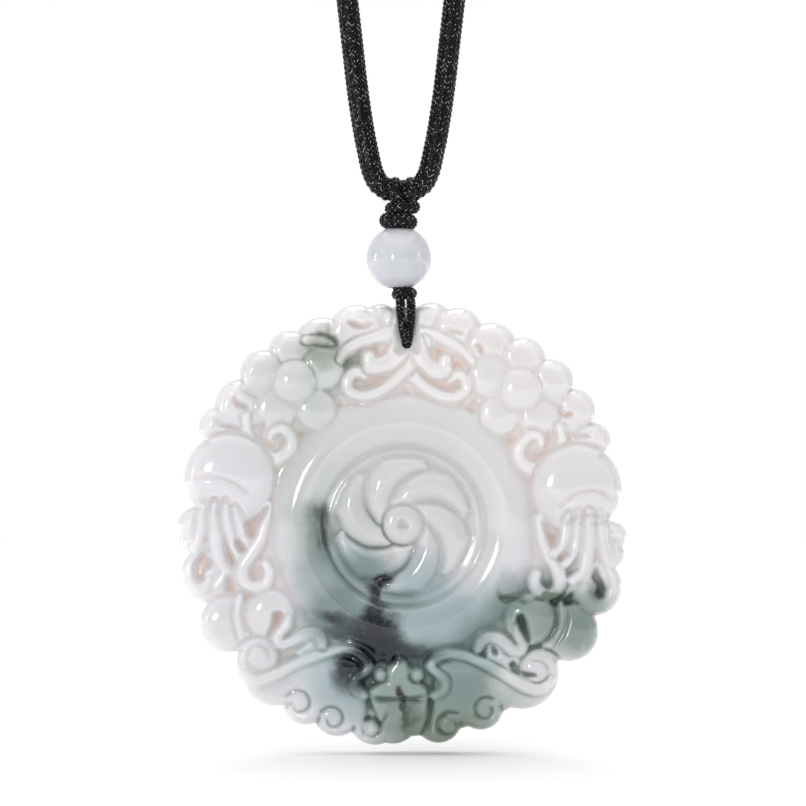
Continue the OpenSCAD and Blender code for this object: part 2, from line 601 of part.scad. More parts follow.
// Everything that stands on the ground plate, lying flat with the front up.
module raised_carving() {
  arm_top = lobe_top(0.82);
  for (i = [0:len(rim_lobes) - 1])
    rim_lobe(rim_lobes[i], pad_foot + stagger * (i % 3));
  flower(flower_left);
  flower(flower_right);
  pouch(-78.3, 21, 20.6);
  pouch(77.6, 16.5, 20.4);
  gourd([-79, -44.6, 13.1], [-61.5, -39.5, 10.6]);
  gourd([74.2, -48, 13.6], [58, -42.6, 11.4]);
  boss(-64, -57.6, 8.8, floor_t, lobe_top(0.8), 14);
  strips(arms_top, lobe_top(0.6));
  strips(scrolls, arm_top);
  strips(hooks, lobe_top(0.9));
  strips(ribbons, lobe_top(0.72));
  strips(wings, arm_top);
  strips(stems, arm_top);
  bat_head();
  for (k = bat_knobs)
    boss(k[0], k[1], k[2], ground_t, lobe_top(0.85), 10);
  bi_ring();
  rosette();
}

// What is cut into the raised carving.
module sunk_carving() {
  deep = disc_t - floor_t + 1;
  cord_way = 4 * thin_cord_d;
  for (p = pits)
    translate([0, 0, floor_t])
      linear_extrude(deep)
        polygon([for (c = p) [share(c[0]), share(c[1])]]);
  for (t = trenches)
    trench_cutter(t, floor_t);
  // Way of the strands, from the hole to the rim.
  translate([hole_x - cord_way / 2, hole_z - disc_z, lobe_top(top_lobe_h)])
    cube([cord_way, disc_r, deep]);
  for (g = grooves)
    line_cutter(g, ground_t + 0.2);
  for (k = swirls)
    line_cutter(swirl(k), ground_t - 0.1);
  translate([share(rosette_centre[0]), share(rosette_centre[1]),
             lobe_top(0.55)])
    cylinder(h = deep, r = share(button_pit_r), $fn = 10);
}

module carved_disc() {
  plate_r = share(92.5);
  color(jade_white)
    translate([disc_shift, disc_back_y, disc_z])
      rotate([90, 0, 0])
        difference() {
          union() {
            cylinder(h = ground_t, r1 = plate_r - edge_r, r2 = plate_r,
                     $fn = 72);
            raised_carving();
          }
          sunk_carving();
          translate([hole_x, hole_z - disc_z, -1])
            cylinder(h = disc_t + 2, r = hole_r, $fn = 20);
        }
}

neck_cord();
closure();
cord_wraps();
jade_bead();
hanging_cord();
hitch_band();
carved_disc();
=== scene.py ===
"""Carved jade disc pendant on a braided black cord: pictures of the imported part."""

import math

import bpy
import numpy as np
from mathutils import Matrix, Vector


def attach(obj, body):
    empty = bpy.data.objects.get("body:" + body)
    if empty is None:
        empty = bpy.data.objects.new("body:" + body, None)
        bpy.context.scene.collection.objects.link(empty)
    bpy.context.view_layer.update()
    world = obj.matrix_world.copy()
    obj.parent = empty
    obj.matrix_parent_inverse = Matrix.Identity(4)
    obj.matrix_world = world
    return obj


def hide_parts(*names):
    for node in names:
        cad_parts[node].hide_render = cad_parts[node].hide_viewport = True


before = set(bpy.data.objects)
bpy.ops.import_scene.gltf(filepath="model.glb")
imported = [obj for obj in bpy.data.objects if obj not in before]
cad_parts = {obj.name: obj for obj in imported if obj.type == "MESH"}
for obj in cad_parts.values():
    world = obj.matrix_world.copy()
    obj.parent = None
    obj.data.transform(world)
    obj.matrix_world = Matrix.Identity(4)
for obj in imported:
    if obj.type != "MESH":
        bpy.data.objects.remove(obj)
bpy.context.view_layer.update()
MM = 0.001


def srgb(r, g, b):
    """Linear colour from the 0-255 values of a picture."""
    def linear(v):
        v /= 255
        return v / 12.92 if v <= 0.04045 else ((v + 0.055) / 1.055) ** 2.4
    return (linear(r), linear(g), linear(b), 1.0)


# Camera, straight in front and level with the upper half of the disc
camera = bpy.data.objects.new("camera", bpy.data.cameras.new("camera"))
bpy.context.scene.collection.objects.link(camera)
camera.location = (0.000275, -0.339, -0.260867)
camera.rotation_euler = (math.pi / 2, 0, 0)
camera.data.lens = 120
camera.data.sensor_width = 36
camera.data.clip_start = 0.02
camera.data.clip_end = 20
bpy.context.scene.camera = camera
bpy.context.scene.view_settings.view_transform = "Standard"


# Cords and bead: their sizes and where they run, in millimetres

BEAD_Z = -242.584
BEAD_R = 4.04
BEAD_X = -0.25
BEAD_BORE_R = 1.44
BEAD_LIP = 0.1
KNOT_TOP = -235.2
KNOT_FOOT = -238.87
BAND_TOP = -246.342
BAND_FOOT = -247.542
RIM_Z = -248.242
HOLE_X = 0.75
BITE_Z = -253.55
EYE_R = 0.64
EYE_Z = -253.42
# Slide knot at the nape
NAPE_TURNS = 8
NAPE_R = 1.9
NAPE_Z = 2.5
NAPE_LENGTH = 9.2
# Loops over the neck cord: their half depth, half height, middle, and each one's x and tilt
LOOP_DEEP = 1.42
LOOP_TALL = 1.32
LOOP_Z = -234.42
LOOPS = [(-0.62, -0.1), (1.12, 0.1)]
# Turns of cord: x, half width, half depth, height and tilt
COLLAR_TURN = (0.2, 1.38, 1.4, -236.25, 0.12)
BASE_TURN = (-0.32, 1.42, 1.5, -237.95, -0.1)
HITCH_TURN = (0.45, 0.92, 1.75, (BAND_TOP + BAND_FOOT) / 2 - 0.15, 0.08)

# Half of the neck cord, from the bottom of the loop up to the nape, as x and z
NECK_HALF = [
    (1.7, -234), (2.8, -233.2), (3.6, -231.6), (4.1, -229.4), (4.7, -226.4),
    (5.5, -221), (6.3, -214), (8, -199), (11.5, -166), (15, -132), (18.5, -98),
    (22, -65), (25, -38), (26, -25), (24.6, -14.5), (20.5, -6), (14.5, -0.4),
    (9, 2.2), (8, 2.5), (5, 2.5),
]
# A strand from the knot through bead and disc and up again, as y and z
STRAND = [
    (-0.62, -238.84), (-0.62, BEAD_Z), (-0.62, BAND_TOP), (-1.45, BAND_FOOT),
    (-2.35, RIM_Z - 0.35), (-2.8, RIM_Z - 1.6), (-2.75, -251.4), (-2.4, -252.5),
    (-1.75, -253.3), (-0.8, BITE_Z + 0.1), (1.9, BITE_Z + 0.1), (2.94, BITE_Z),
    (3.42, BITE_Z + 0.4), (3.42, RIM_Z - 1.8), (3.39, RIM_Z - 1.1), (2.74, RIM_Z),
    (1.45, BAND_FOOT), (0.62, BAND_TOP), (0.62, BEAD_Z), (0.62, -238.84),
]
# Sideways place of the two strands' middle, and half the gap between them, each by height
STRANDS_MIDDLE = [(-254, HOLE_X), (-248.2, 0.62), (-247, 0.42), (-246.2, 0.05)]
STRANDS_APART = [(-253.5, 0.1), (-252.4, 0.28), (-251.2, 0.5), (-249.6, 0.68),
                 (-248.2, 0.72), (-246.3, 0.595)]
# Braids: radius, step between rows, stitches round, half length, half width and half
# depth of a stitch, its lean in degrees, and the radius of the core
BRAIDS = {
    "neck_braid": (1.31, 0.66, 18, 0.44, 0.2, 0.12, 38, 1.33),
    "nape_knot": (0.52, 0.42, 8, 0.34, 0.2, 0.13, 36, 0.52),
    "wrap_loops": (0.68, 0.5, 10, 0.38, 0.2, 0.13, 38, 0.67),
    "wrap_collar": (0.78, 0.5, 12, 0.38, 0.2, 0.13, 38, 0.77),
    "wrap_base": (0.92, 0.5, 14, 0.38, 0.2, 0.13, 38, 0.91),
    "wrap_core": (1.22, 0.5, 18, 0.38, 0.2, 0.13, 38, 1.22),
    "strand_pair": (0.47, 0.44, 8, 0.34, 0.18, 0.1, 36, 0.46),
    "hitch_turn": (0.62, 0.46, 10, 0.36, 0.2, 0.12, 36, 0.61),
}


def curve_through(rows, longest):
    """Points of a smooth curve through all rows, no further apart than longest."""
    rows = np.array(rows, float)
    last = len(rows) - 1
    points = []
    for i in range(last):
        a, b, c, d = (rows[min(max(k, 0), last)] for k in (i - 1, i, i + 1, i + 2))
        n = max(1, math.ceil(np.linalg.norm((c - b)[:3]) / longest))
        for t in np.arange(n) / n:
            points.append(0.5 * (2 * b + (c - a) * t + (2 * a - 5 * b + 4 * c - d) * t * t
                                 + (3 * b - a - 3 * c + d) * t ** 3))
    points.append(rows[last])
    return np.array(points)


def in_scene(name, data):
    """New object in the scene."""
    made = bpy.data.objects.new(name, data)
    bpy.context.scene.collection.objects.link(made)
    return made


def path_object(name, runs, closed):
    """Curve object of straight runs between points given in millimetres."""
    data = bpy.data.curves.new(name, "CURVE")
    data.dimensions = "3D"
    data.twist_mode = "MINIMUM"
    for points in runs:
        spline = data.splines.new("POLY")
        spline.points.add(len(points) - 1)
        for p, to in zip(points, spline.points):
            to.co = (p[0] * MM, p[1] * MM, p[2] * MM, 1)
        spline.use_cyclic_u = closed
    return in_scene(name, data)


class Nodes:
    """Adds nodes to a tree, with their settings, values and links."""

    def __init__(self, tree):
        self.tree = tree

    def feed(self, node, inputs):
        """Give a node's inputs, by name or number, a value or another node's output."""
        for name, value in inputs.items():
            if hasattr(value, "is_linked"):
                self.tree.links.new(value, node.inputs[name])
            else:
                node.inputs[name].default_value = value

    def add(self, kind, inputs=None, **settings):
        made = self.tree.nodes.new(kind)
        for name, value in settings.items():
            setattr(made, name, value)
        self.feed(made, inputs or {})
        return made

    def maths(self, kind, a, b):
        return self.add("ShaderNodeMath", {0: a, 1: b}, operation=kind).outputs[0]

    def vector(self, x, y, z):
        return self.add("ShaderNodeCombineXYZ", {0: x, 1: y, 2: z}).outputs[0]

    def place(self, kind="Object"):
        return self.add("ShaderNodeTexCoord").outputs[kind]

    def attribute(self, name):
        return self.add("ShaderNodeAttribute", attribute_name=name).outputs["Fac"]

    def mix(self, share, under, over, kind="MIX"):
        """Two colours mixed by a share."""
        return self.add("ShaderNodeMix", {0: share, 6: under, 7: over}, data_type="RGBA",
                        blend_type=kind).outputs[2]

    def noise(self, where, scale, detail, rough=0.5, warp=0.0):
        return self.add("ShaderNodeTexNoise", {
            "Vector": where, "Scale": scale, "Detail": detail, "Roughness": rough,
            "Distortion": warp}).outputs

    def ramp(self, value, low, high, to_low=0.0, to_high=1.0):
        """Value spread smoothly from low..high to another range."""
        return self.add("ShaderNodeMapRange", {
            "Value": value, "From Min": low, "From Max": high, "To Min": to_low,
            "To Max": to_high}, interpolation_type="SMOOTHSTEP").outputs[0]


# The braid: rows of leaning stitches round a path

def braid_tree():
    """Geometry Nodes tree that lays rings of stitches along its own curve."""
    tree = bpy.data.node_groups.new("braid_along_path", "GeometryNodeTree")
    asked = [
        ("Geometry", "Geometry"), ("Cord radius", "Float"), ("Row step", "Float"),
        ("Columns", "Int"), ("Stitch length", "Float"), ("Stitch width", "Float"),
        ("Stitch depth", "Float"), ("Lean", "Float"), ("Core radius", "Float"),
        ("Material", "Material"),
    ]
    for name, kind in asked:
        tree.interface.new_socket(name, in_out="INPUT", socket_type="NodeSocket" + kind)
    tree.interface.new_socket("Geometry", in_out="OUTPUT", socket_type="NodeSocketGeometry")
    nodes = Nodes(tree)
    given = nodes.add("NodeGroupInput").outputs

    # One stitch: a spindle of eight faces, long along Z
    spindle = nodes.add("GeometryNodeMeshUVSphere", {"Segments": 4, "Rings": 2, "Radius": 1.0})
    # "ridge" is 1 along the spindle's middle and 0 at its two sides; the cord's painted glint
    # follows it
    corner = nodes.add("ShaderNodeSeparateXYZ",
                       {0: nodes.add("GeometryNodeInputPosition").outputs[0]})
    aside = nodes.maths("ABSOLUTE", corner.outputs["Y"], 0.0)
    marked = nodes.add("GeometryNodeStoreNamedAttribute", {
        "Geometry": spindle.outputs[0], "Name": "ridge",
        "Value": nodes.maths("SUBTRACT", 1.0, aside)}, data_type="FLOAT", domain="POINT")
    shaped = nodes.add("GeometryNodeTransform", {
        "Geometry": marked.outputs[0],
        "Scale": nodes.vector(given["Stitch depth"], given["Stitch width"],
                              given["Stitch length"])})

    # Ring of stitches round Z, leaning one way and the other in turn
    ring = nodes.add("GeometryNodeMeshCircle", {
        "Vertices": given["Columns"], "Radius": given["Cord radius"]})
    number = nodes.add("GeometryNodeInputIndex").outputs[0]
    twice = nodes.maths("MULTIPLY", nodes.maths("MODULO", number, 2.0), 2.0)
    lean = nodes.maths("MULTIPLY", nodes.maths("SUBTRACT", twice, 1.0), given["Lean"])
    turn = nodes.maths("DIVIDE", nodes.maths("MULTIPLY", number, 2 * math.pi), given["Columns"])
    placed = nodes.add("GeometryNodeInstanceOnPoints", {
        "Points": ring.outputs[0], "Instance": shaped.outputs[0],
        "Rotation": nodes.vector(lean, 0.0, turn)})

    # The rings follow the path
    row = nodes.add("GeometryNodeCurveToPoints", {
        "Curve": given["Geometry"], "Length": given["Row step"]}, mode="LENGTH")
    along = nodes.add("GeometryNodeInstanceOnPoints", {
        "Points": row.outputs["Points"], "Instance": placed.outputs[0],
        "Rotation": row.outputs["Rotation"]})

    # Core under the stitches
    hoop = nodes.add("GeometryNodeCurvePrimitiveCircle", {
        "Resolution": 16, "Radius": given["Core radius"]})
    core = nodes.add("GeometryNodeCurveToMesh", {
        "Curve": given["Geometry"], "Profile Curve": hoop.outputs[0], "Fill Caps": True})

    joined = nodes.add("GeometryNodeJoinGeometry", {0: along.outputs[0]})
    nodes.feed(joined, {0: core.outputs[0]})
    real = nodes.add("GeometryNodeRealizeInstances", {0: joined.outputs[0]})
    smooth = nodes.add("GeometryNodeSetShadeSmooth", {"Geometry": real.outputs[0]})
    painted = nodes.add("GeometryNodeSetMaterial", {
        "Geometry": smooth.outputs[0], "Material": given["Material"]})
    nodes.add("NodeGroupOutput", {0: painted.outputs[0]})
    return tree


def braided(name, runs, closed=False):
    """Plain mesh of a braided cord along runs of points in millimetres."""
    path = path_object(name + "_path", runs, closed)
    mod = path.modifiers.new("braid", "NODES")
    mod.node_group = BRAID
    radius, step, columns, half_long, half_wide, half_deep, lean, core = BRAIDS[name]
    values = {
        "Cord radius": radius * MM, "Row step": step * MM, "Columns": columns,
        "Stitch length": half_long * MM, "Stitch width": half_wide * MM,
        "Stitch depth": half_deep * MM, "Lean": math.radians(lean),
        "Core radius": core * MM, "Material": BLACK,
    }
    for item in BRAID.interface.items_tree:
        if item.in_out == "INPUT" and item.name in values:
            mod[item.identifier] = values[item.name]
    bpy.context.view_layer.update()
    deps = bpy.context.evaluated_depsgraph_get()
    mesh = bpy.data.meshes.new_from_object(path.evaluated_get(deps), depsgraph=deps)
    mesh.name = name
    bpy.data.objects.remove(path)
    return in_scene(name, mesh)


def plain_mesh(name, places, faces, material):
    """Smooth mesh object from points in metres and faces."""
    mesh = bpy.data.meshes.new(name)
    mesh.from_pydata([tuple(p) for p in places], [], faces)
    mesh.materials.append(material)
    mesh.polygons.foreach_set("use_smooth", [True] * len(mesh.polygons))
    mesh.update()
    return in_scene(name, mesh)


# Carving, in hundredths of the disc's radius from its centre: x, z and radius or width;
# outlines have no third value

RIM_LOBES = [
    (-10.5, 91, 8.6), (-1.5, 89.5, 9.1), (4, 89.5, 9.1), (12.5, 90, 10.2), (24.5, 87, 10.8),
    (39.5, 80, 11.2), (65.5, 64.5, 10.2), (76.5, 51.5, 9.7), (85, 38, 8), (94, -5, 6.4),
    (93, -13, 6.6), (85.5, -28, 13), (53, -66, 17), (34.5, -82, 10.4), (15.5, -87.5, 10.8),
    (-5, -86.5, 12.2), (-13, -87, 12.2), (-30, -84, 11.3), (-44.3, -80, 10.1), (-58, -67, 14.6),
    (-63, -62.5, 12.8), (-87, -22, 13.4), (-94, -6, 7.2), (-94, 0, 7.8), (-83.8, 44.5, 8.5),
    (-73.5, 54, 11.5), (-63, 68, 10.8), (-37, 81, 12.5), (-21.5, 87, 12.2),
]
# Pouches and gourds where they reach the rim
RIM_SIDES = [(-78.3, 21, 20.6), (77.6, 16.5, 20.4), (-79, -44.6, 13.1), (74.2, -48, 13.6)]
POUCHES = [(-78.3, 21, 20.9), (77.6, 16.5, 20.7)]
# The ball in the middle, then the petals
FLOWER_LEFT = [(-49, 64.5, 9.8), [
    (-51.7, 78.3, 9.2), (-36.5, 70.5, 9.3), (-39.5, 52, 8.7), (-57.5, 52, 9.2), (-64, 69, 9.5),
]]
FLOWER_RIGHT = [(52, 61, 9.8), [
    (54, 74.8, 9.6), (67, 65, 9.3), (60.5, 48.5, 8.8), (43, 50, 9), (38.5, 67, 9.3),
]]
# Bands along the top, on both sides of the hole
ARMS_TOP = [
    [(-4, 86, 8), (-12, 84.3, 6), (-20, 82, 5.5), (-26, 78.5, 5), (-28.5, 74.5, 4)],
    [(4, 86, 7), (13, 85.5, 5), (20, 82.3, 5), (26, 78.5, 4.5), (30.5, 73.5, 4)],
    [(-44, 83, 4), (-40, 83.2, 4), (-35.5, 82.8, 3.6)],
]
# Hooks that meet under the hole
HOOKS = [
    [(-15.8, 76, 5.5), (-14.8, 72, 8.2), (-9.5, 71.6, 8.6), (-4.5, 75, 9), (-1, 81, 9)],
    [(18.5, 74, 6), (17.6, 69.8, 8.2), (12.3, 70, 8), (8.3, 74.5, 8), (5.5, 81, 8)],
]
# Two crossed scrolls under them, and one at each pouch
SCROLLS = [
    [(20.5, 65.6, 4), (24, 67.3, 5), (27.6, 65, 5.4), (27.4, 60.4, 5.4), (23, 57.6, 5.2),
     (17, 58, 5.2), (11, 61, 5.2), (5, 66, 5.4), (-1, 72.5, 6), (-4.5, 79, 6)],
    [(-17.8, 67.3, 4.4), (-21.4, 68.6, 5.4), (-25, 65.6, 5.5), (-25, 61, 5.5),
     (-21, 58.4, 5.3), (-15.5, 58.3, 5.2), (-9.5, 60.8, 5.2), (-4, 65, 5.5), (1.5, 70.5, 6.3),
     (6, 76, 7), (9, 82, 7)],
    [(-70.3, 49, 4.4), (-69.8, 40.5, 5), (-66.1, 33.4, 5.6), (-58.1, 29.7, 6.2),
     (-51.4, 33.8, 6.4), (-50.4, 39.6, 6), (-55, 43.4, 5), (-59.2, 41.3, 4), (-60, 38.5, 3)],
    [(61.4, 36.2, 3), (60.6, 39.6, 4.2), (56.7, 40.5, 5.2), (52.4, 36.8, 6), (51.4, 31, 6.4),
     (55.6, 26.2, 6.4), (62, 26.2, 6), (67.8, 30.4, 5.6), (70.5, 36.3, 5), (69.8, 44, 4.4)],
]
# Ribbons that hang from the pouches
RIBBONS = [
    [(-89.5, 9.5, 2), (-90.5, 5, 4.4), (-91, -2, 5), (-94, -10.5, 5), (-97.2, -18.5, 4.6),
     (-96, -26, 5), (-91.3, -28.8, 5.4), (-87, -25, 4)],
    [(-84.5, 11, 2), (-85, 6, 5), (-84.3, 0, 6), (-84, -8, 6), (-82, -15, 6), (-79.8, -20.5, 4.6),
     (-84, -26.5, 4)],
    [(-79.6, 11, 2), (-79, 6, 4.8), (-78.2, 0, 5.4), (-76.3, -7, 5), (-74, -13.5, 4.6)],
    [(-75.4, 8.5, 1.8), (-74, 4, 4.2), (-72.8, -1, 4.4), (-70.5, -7, 4), (-68.3, -11, 3.6)],
    [(-60.8, 9, 3), (-62.3, 2, 4.4), (-64.3, -6, 5.4), (-68.4, -12.5, 5.8), (-72, -18.6, 5.2),
     (-71.5, -24.6, 5.2), (-67, -27.2, 4.8), (-61.8, -25.6, 5.4), (-60.2, -20.5, 4.4),
     (-62, -17, 3)],
    [(60.4, 4, 3), (61.4, -4, 4.4), (64.6, -12, 5.8), (68.6, -19, 5.8), (69.6, -25.5, 5.2),
     (67, -30, 4.8), (61, -30, 5.4), (58.2, -26, 5), (59, -22, 4)],
    [(73.6, 5.6, 2), (72.8, 1, 4.6), (72, -4, 5), (69.5, -9.5, 4.6), (67.3, -12.5, 3.6)],
    [(78, 6.6, 2), (77.8, 2, 4.6), (77.5, -4, 5), (75.8, -11, 4.6), (72, -16.5, 4.2)],
    [(83, 7, 2.4), (83, 2, 6), (82.8, -5, 6.6), (82, -13, 6), (79.5, -19.5, 5.4),
     (75.3, -24.3, 3.8)],
    [(87.8, 6, 2), (88.3, 1, 4.4), (88.8, -7, 5), (90.8, -14, 5.6), (94, -21.5, 6),
     (93.8, -29.5, 6.4), (89.6, -35, 7), (83.3, -34.4, 8), (80.6, -30, 7.6)],
]
# Scrolled upper edges of the bat's wings
WINGS = [
    [(-75.5, -61, 3), (-72.6, -65.2, 4.2), (-66, -68.9, 4.8), (-57.5, -66.4, 4.8),
     (-50, -62.4, 4.4), (-42, -59, 4.2), (-34, -56.3, 4), (-26, -55.2, 4), (-19.6, -57.3, 4.4),
     (-15.9, -61.6, 4.4), (-18, -65.6, 4), (-22, -68, 4), (-22.2, -72.4, 4.2),
     (-18, -75.6, 3.6)],
    [(66.4, -68.4, 2.6), (63.6, -71.4, 4), (59.4, -72.9, 4.6), (54.8, -71.9, 4.8),
     (50, -69.4, 4.8), (44, -66, 4.4), (36, -61.6, 4.2), (28, -58, 4.1), (20, -57.1, 4.2),
     (14.4, -58.8, 4.4),
     (11.8, -62.3, 4), (15, -65.8, 3.8), (18.3, -69, 4.2), (17.6, -73.4, 4), (13.5, -76, 3.4)],
]
# Gourds: the lower ball, the upper ball and the collar between them
GOURDS = [
    ((-79, -44.6, 13.3), (-60.2, -39.4, 11.6),
     [(-73.4, -31.6, 3.4), (-74.3, -37, 4.6), (-74.2, -43, 4.6), (-72.6, -49.5, 4)]),
    ((74.4, -48, 13.8), (56.5, -41.6, 11.8),
     [(70.6, -34.8, 3.6), (70.7, -40.5, 4.6), (69.4, -46, 4.6), (66.9, -50.6, 4.4),
      (63.4, -54.6, 4)]),
]
# Stems of the gourds
STEMS = [
    [(-51.6, -41, 2), (-52.2, -43.6, 4.6), (-55, -46.8, 5), (-56.6, -50, 4.8), (-54.4, -53, 4.8),
     (-49.4, -51.6, 5), (-44.9, -48.4, 5.4), (-40.3, -47.6, 5.4), (-37.4, -49.6, 5),
     (-36.6, -53, 4.4)],
    [(50, -45.4, 2), (51, -48.6, 4.6), (53, -52.4, 4.6), (52, -55.8, 4.6), (48.4, -55.4, 5),
     (45, -52.4, 5.2), (41.4, -50, 5.2), (37.4, -49.7, 5), (34.4, -51.8, 4.6), (33, -54.8, 4)],
]
# Sunk lines between the shapes
TRENCHES = [
    [(-24, 91, 3), (-21, 89.4, 3.2), (-17.5, 89.2, 2), (-14.5, 90.6, 1.6)],
    [(-38.3, 86.1, 1.2), (-35, 85.3, 1.8), (-31.6, 83.6, 3.2), (-30.2, 80.6, 2.4),
     (-34, 80, 1.6), (-37.5, 80.6, 1)],
    [(7, 69.8, 1), (9.4, 67.2, 1.1), (13, 64.4, 1.5), (17, 62.4, 2.2), (20.5, 61.2, 2.2),
     (23.5, 61.2, 1.2)],
    [(19.5, 87.8, 1), (22.5, 86.8, 1.8), (26, 86.3, 1)],
    [(-63, 45.5, 2.4), (-63.9, 41, 3.5), (-62.6, 37.6, 3.8), (-59.6, 35.9, 3.4),
     (-57.3, 36.2, 2)],
    [(64.5, 41.5, 2.4), (65.1, 37, 3.3), (63.4, 33.4, 3.6), (60.4, 31.7, 3.6), (58, 32, 2.4)],
    [(-82, 44.8, 1.8), (-77.5, 44.2, 2.8), (-74, 43.4, 2)],
    [(-76, 57, 2), (-74.4, 54.4, 3), (-70.5, 53, 2)],
    [(69.4, 53.5, 2), (71, 49.6, 3), (74.5, 49.8, 2.4)],
    [(43.5, -32.6, 1.4), (48, -31.4, 1.8), (54, -30.6, 1.2)],
    [(51.6, -64.6, 1), (54.6, -66.4, 2.2), (58.4, -66.6, 1.2)],
    [(-55, -58, 2.6), (-52, -56.2, 2.4), (-48, -54.6, 1.8), (-44.3, -52.4, 1)],
]
# Pits between the shapes, as outlines
PITS = [
    [(-10.5, 82), (-10.3, 77), (-12, 76.2), (-14, 78.4), (-16.5, 78.3), (-18.6, 76.5),
     (-18.8, 73), (-18, 71.6), (-22, 71.4), (-27, 69.6), (-28.3, 71.2), (-26, 75), (-20, 79.2),
     (-14, 81.2)],
    [(-21.5, 63), (-19.8, 61.8), (-16.5, 61.4), (-13, 62.3), (-9.5, 64.6), (-3.5, 70),
     (-8.5, 68.2), (-14.8, 67.2), (-15.4, 65.4), (-18.5, 64.4)],
    [(-4.8, 59.2), (-1.4, 61.4), (0.6, 63.3), (2.4, 61.6), (5, 59), (1.5, 58.3)],
    [(13.2, 82.5), (17, 80.2), (22.3, 77), (20.4, 77.5), (18, 77.4), (16.5, 76), (15, 75.2),
     (13, 77.6)],
    [(22.3, 75.2), (25.5, 74.4), (29.5, 70.6), (26, 70.2), (21.7, 69.9), (21.4, 72)],
    [(31.6, 81), (34, 81.8), (35.6, 79.4), (35.8, 76.8), (34, 76.8)],
    [(-31.4, 59.4), (-30.2, 57), (-29.9, 51), (-25.6, 53.2), (-28, 57)],
    [(31.6, 58.4), (29.8, 56), (26.4, 52.4), (30.8, 49.2), (32.7, 50), (32.9, 53.2),
     (34, 56.2)],
    [(-51.3, 44.8), (-45, 43.6), (-41.4, 43.3), (-45.5, 38), (-47, 37), (-48, 41)],
    [(41.4, 40.9), (46, 40.4), (53.3, 41.2), (50, 37.4), (48, 35.2), (44.4, 38.8)],
    [(74.5, 42), (77, 41.6), (82.5, 41), (83.4, 39.6), (80, 38.8), (76, 39.2)],
    [(-71.3, 0.4), (-70, 2.4), (-66, 4.4), (-60.8, 9.4), (-60, 8), (-65.4, -1), (-66.8, -5),
     (-68.5, -5.8), (-70.4, -4)],
    [(-75.4, -5.4), (-73.4, -6.4), (-70.6, -10), (-71.2, -12), (-73.5, -12), (-75.3, -9)],
    [(-80.4, -11), (-78, -10), (-75.7, -14.5), (-75.2, -17.4), (-77.4, -17.8), (-79.4, -15)],
    [(-68.8, -20.5), (-66.6, -17.4), (-64.5, -15.6), (-64.2, -19), (-65.2, -22.5),
     (-67, -23.8), (-68.8, -23.2)],
    [(-93.3, -15), (-89.2, -11.2), (-88, -13.5), (-85.8, -16), (-86, -18.6), (-89, -20.6),
     (-89.2, -24.2), (-91.5, -25.6), (-94.2, -22.6), (-94.8, -18.6)],
    [(-79.3, -22.4), (-77, -22.5), (-74.8, -27.4), (-75, -30), (-81, -30.6), (-80, -27)],
    [(61.4, 2), (63.5, -1), (66.5, -2.4), (69.2, -4), (69, -7.5), (67, -10.4), (65.5, -9.5),
     (63.6, -5)],
    [(67.8, -15.2), (70, -12.6), (74.2, -10.8), (74, -13), (71.5, -15), (70, -16.6)],
    [(72.4, -20.6), (76, -19.2), (78.8, -15.8), (78, -19.4), (74.8, -22.3), (72.8, -22.2)],
    [(62.2, -20.6), (64, -21.6), (66, -25.5), (65.4, -28.2), (63.6, -28.4), (62.2, -26.5)],
    [(83.2, -23.3), (85.2, -18.4), (86.6, -18.6), (88.5, -23), (90.2, -28), (89.4, -31.8),
     (87, -32.4), (85.4, -30.4), (86, -27)],
    [(70.8, -34.4), (73, -30.6), (75.4, -28.7), (76, -31), (75.3, -35.1), (72.6, -35.6)],
    [(-58.4, -38.8), (-55.6, -38.2), (-53.9, -39.8), (-55, -43), (-57.8, -46.6), (-60, -50),
     (-61.8, -50), (-59.8, -45.4), (-58.6, -42)],
    [(50.6, -40.2), (52.8, -39.4), (54.4, -42.4), (55.4, -47), (56.6, -51.4), (56.2, -54),
     (54.4, -50.6), (51.8, -46), (50.2, -43)],
    [(38.6, -54), (40, -53.2), (42, -56), (41.5, -57.8), (39.7, -57.4)],
    [(46.6, -62), (48.5, -60.2), (50.4, -61), (50.2, -65.2), (47.6, -63.8)],
    [(-18.8, -69), (-17.4, -68.1), (-16.1, -69), (-15.9, -72.8), (-17, -72.8), (-18.8, -71.4)],
    [(11.2, -70), (12.5, -68.5), (14.1, -70), (13.9, -72.8), (12.5, -73.8), (11.2, -72.4)],
    [(-13.3, -60), (-9, -59.4), (-5.6, -60), (-8, -63.3), (-10.6, -63.2), (-12.9, -64.2)],
    [(1.2, -60.8), (4, -60.6), (8.4, -60.8), (9.3, -62.4), (8, -64.4), (5, -63.4),
     (2.2, -63.8)],
]
# Lines cut into the pouches and the bat
GROOVES = [
    [(-93.5, 21.4), (-87, 22), (-80, 21), (-74.5, 18.6), (-70, 15.2)],
    [(-93, 11.2), (-86, 12), (-79.5, 11)],
    [(70, 9), (75, 13.5), (81.5, 15.5), (88, 15), (94.5, 10.4)],
    [(73, 1.5), (78.5, 4.6), (84, 5), (93, 4)],
    [(-16.5, -75.2), (-11, -76.8), (-2, -77.4), (5, -77), (10, -75.2)],
    [(-15.4, -78), (-13, -84), (-10.6, -88.4), (-6, -79.6)],
    [(12, -78), (11.4, -84), (10, -89.4), (6.4, -94)],
]
# Round ends of the wings: the boss, then how deep its line is and where it runs
CURLS = [
    ((-65.7, -59.3, 9.8), 0.55, [
        (-57.5, -63.4), (-62, -64.8), (-67, -63.6), (-70.2, -59.8), (-69, -55.4),
        (-65, -53.6), (-61.4, -55.2), (-60.6, -58.2)]),
    ((61.2, -64.4, 9.6), 0.45, [
        (57.6, -60.2), (61.4, -60.6), (64, -63.2), (64.2, -66.6), (62.2, -69.4)]),
]
# Buds beside the stems
BUDS = [(-43, -52.6, 7.2), (44.4, -57.6, 8)]
# The bat's eyes and the knobs at its feet
BAT_KNOBS = [
    (-10.8, -66.8, 2.9), (5.8, -66.8, 3.1), (-14.7, -90.6, 3.4), (18.3, -88.8, 3.4),
]
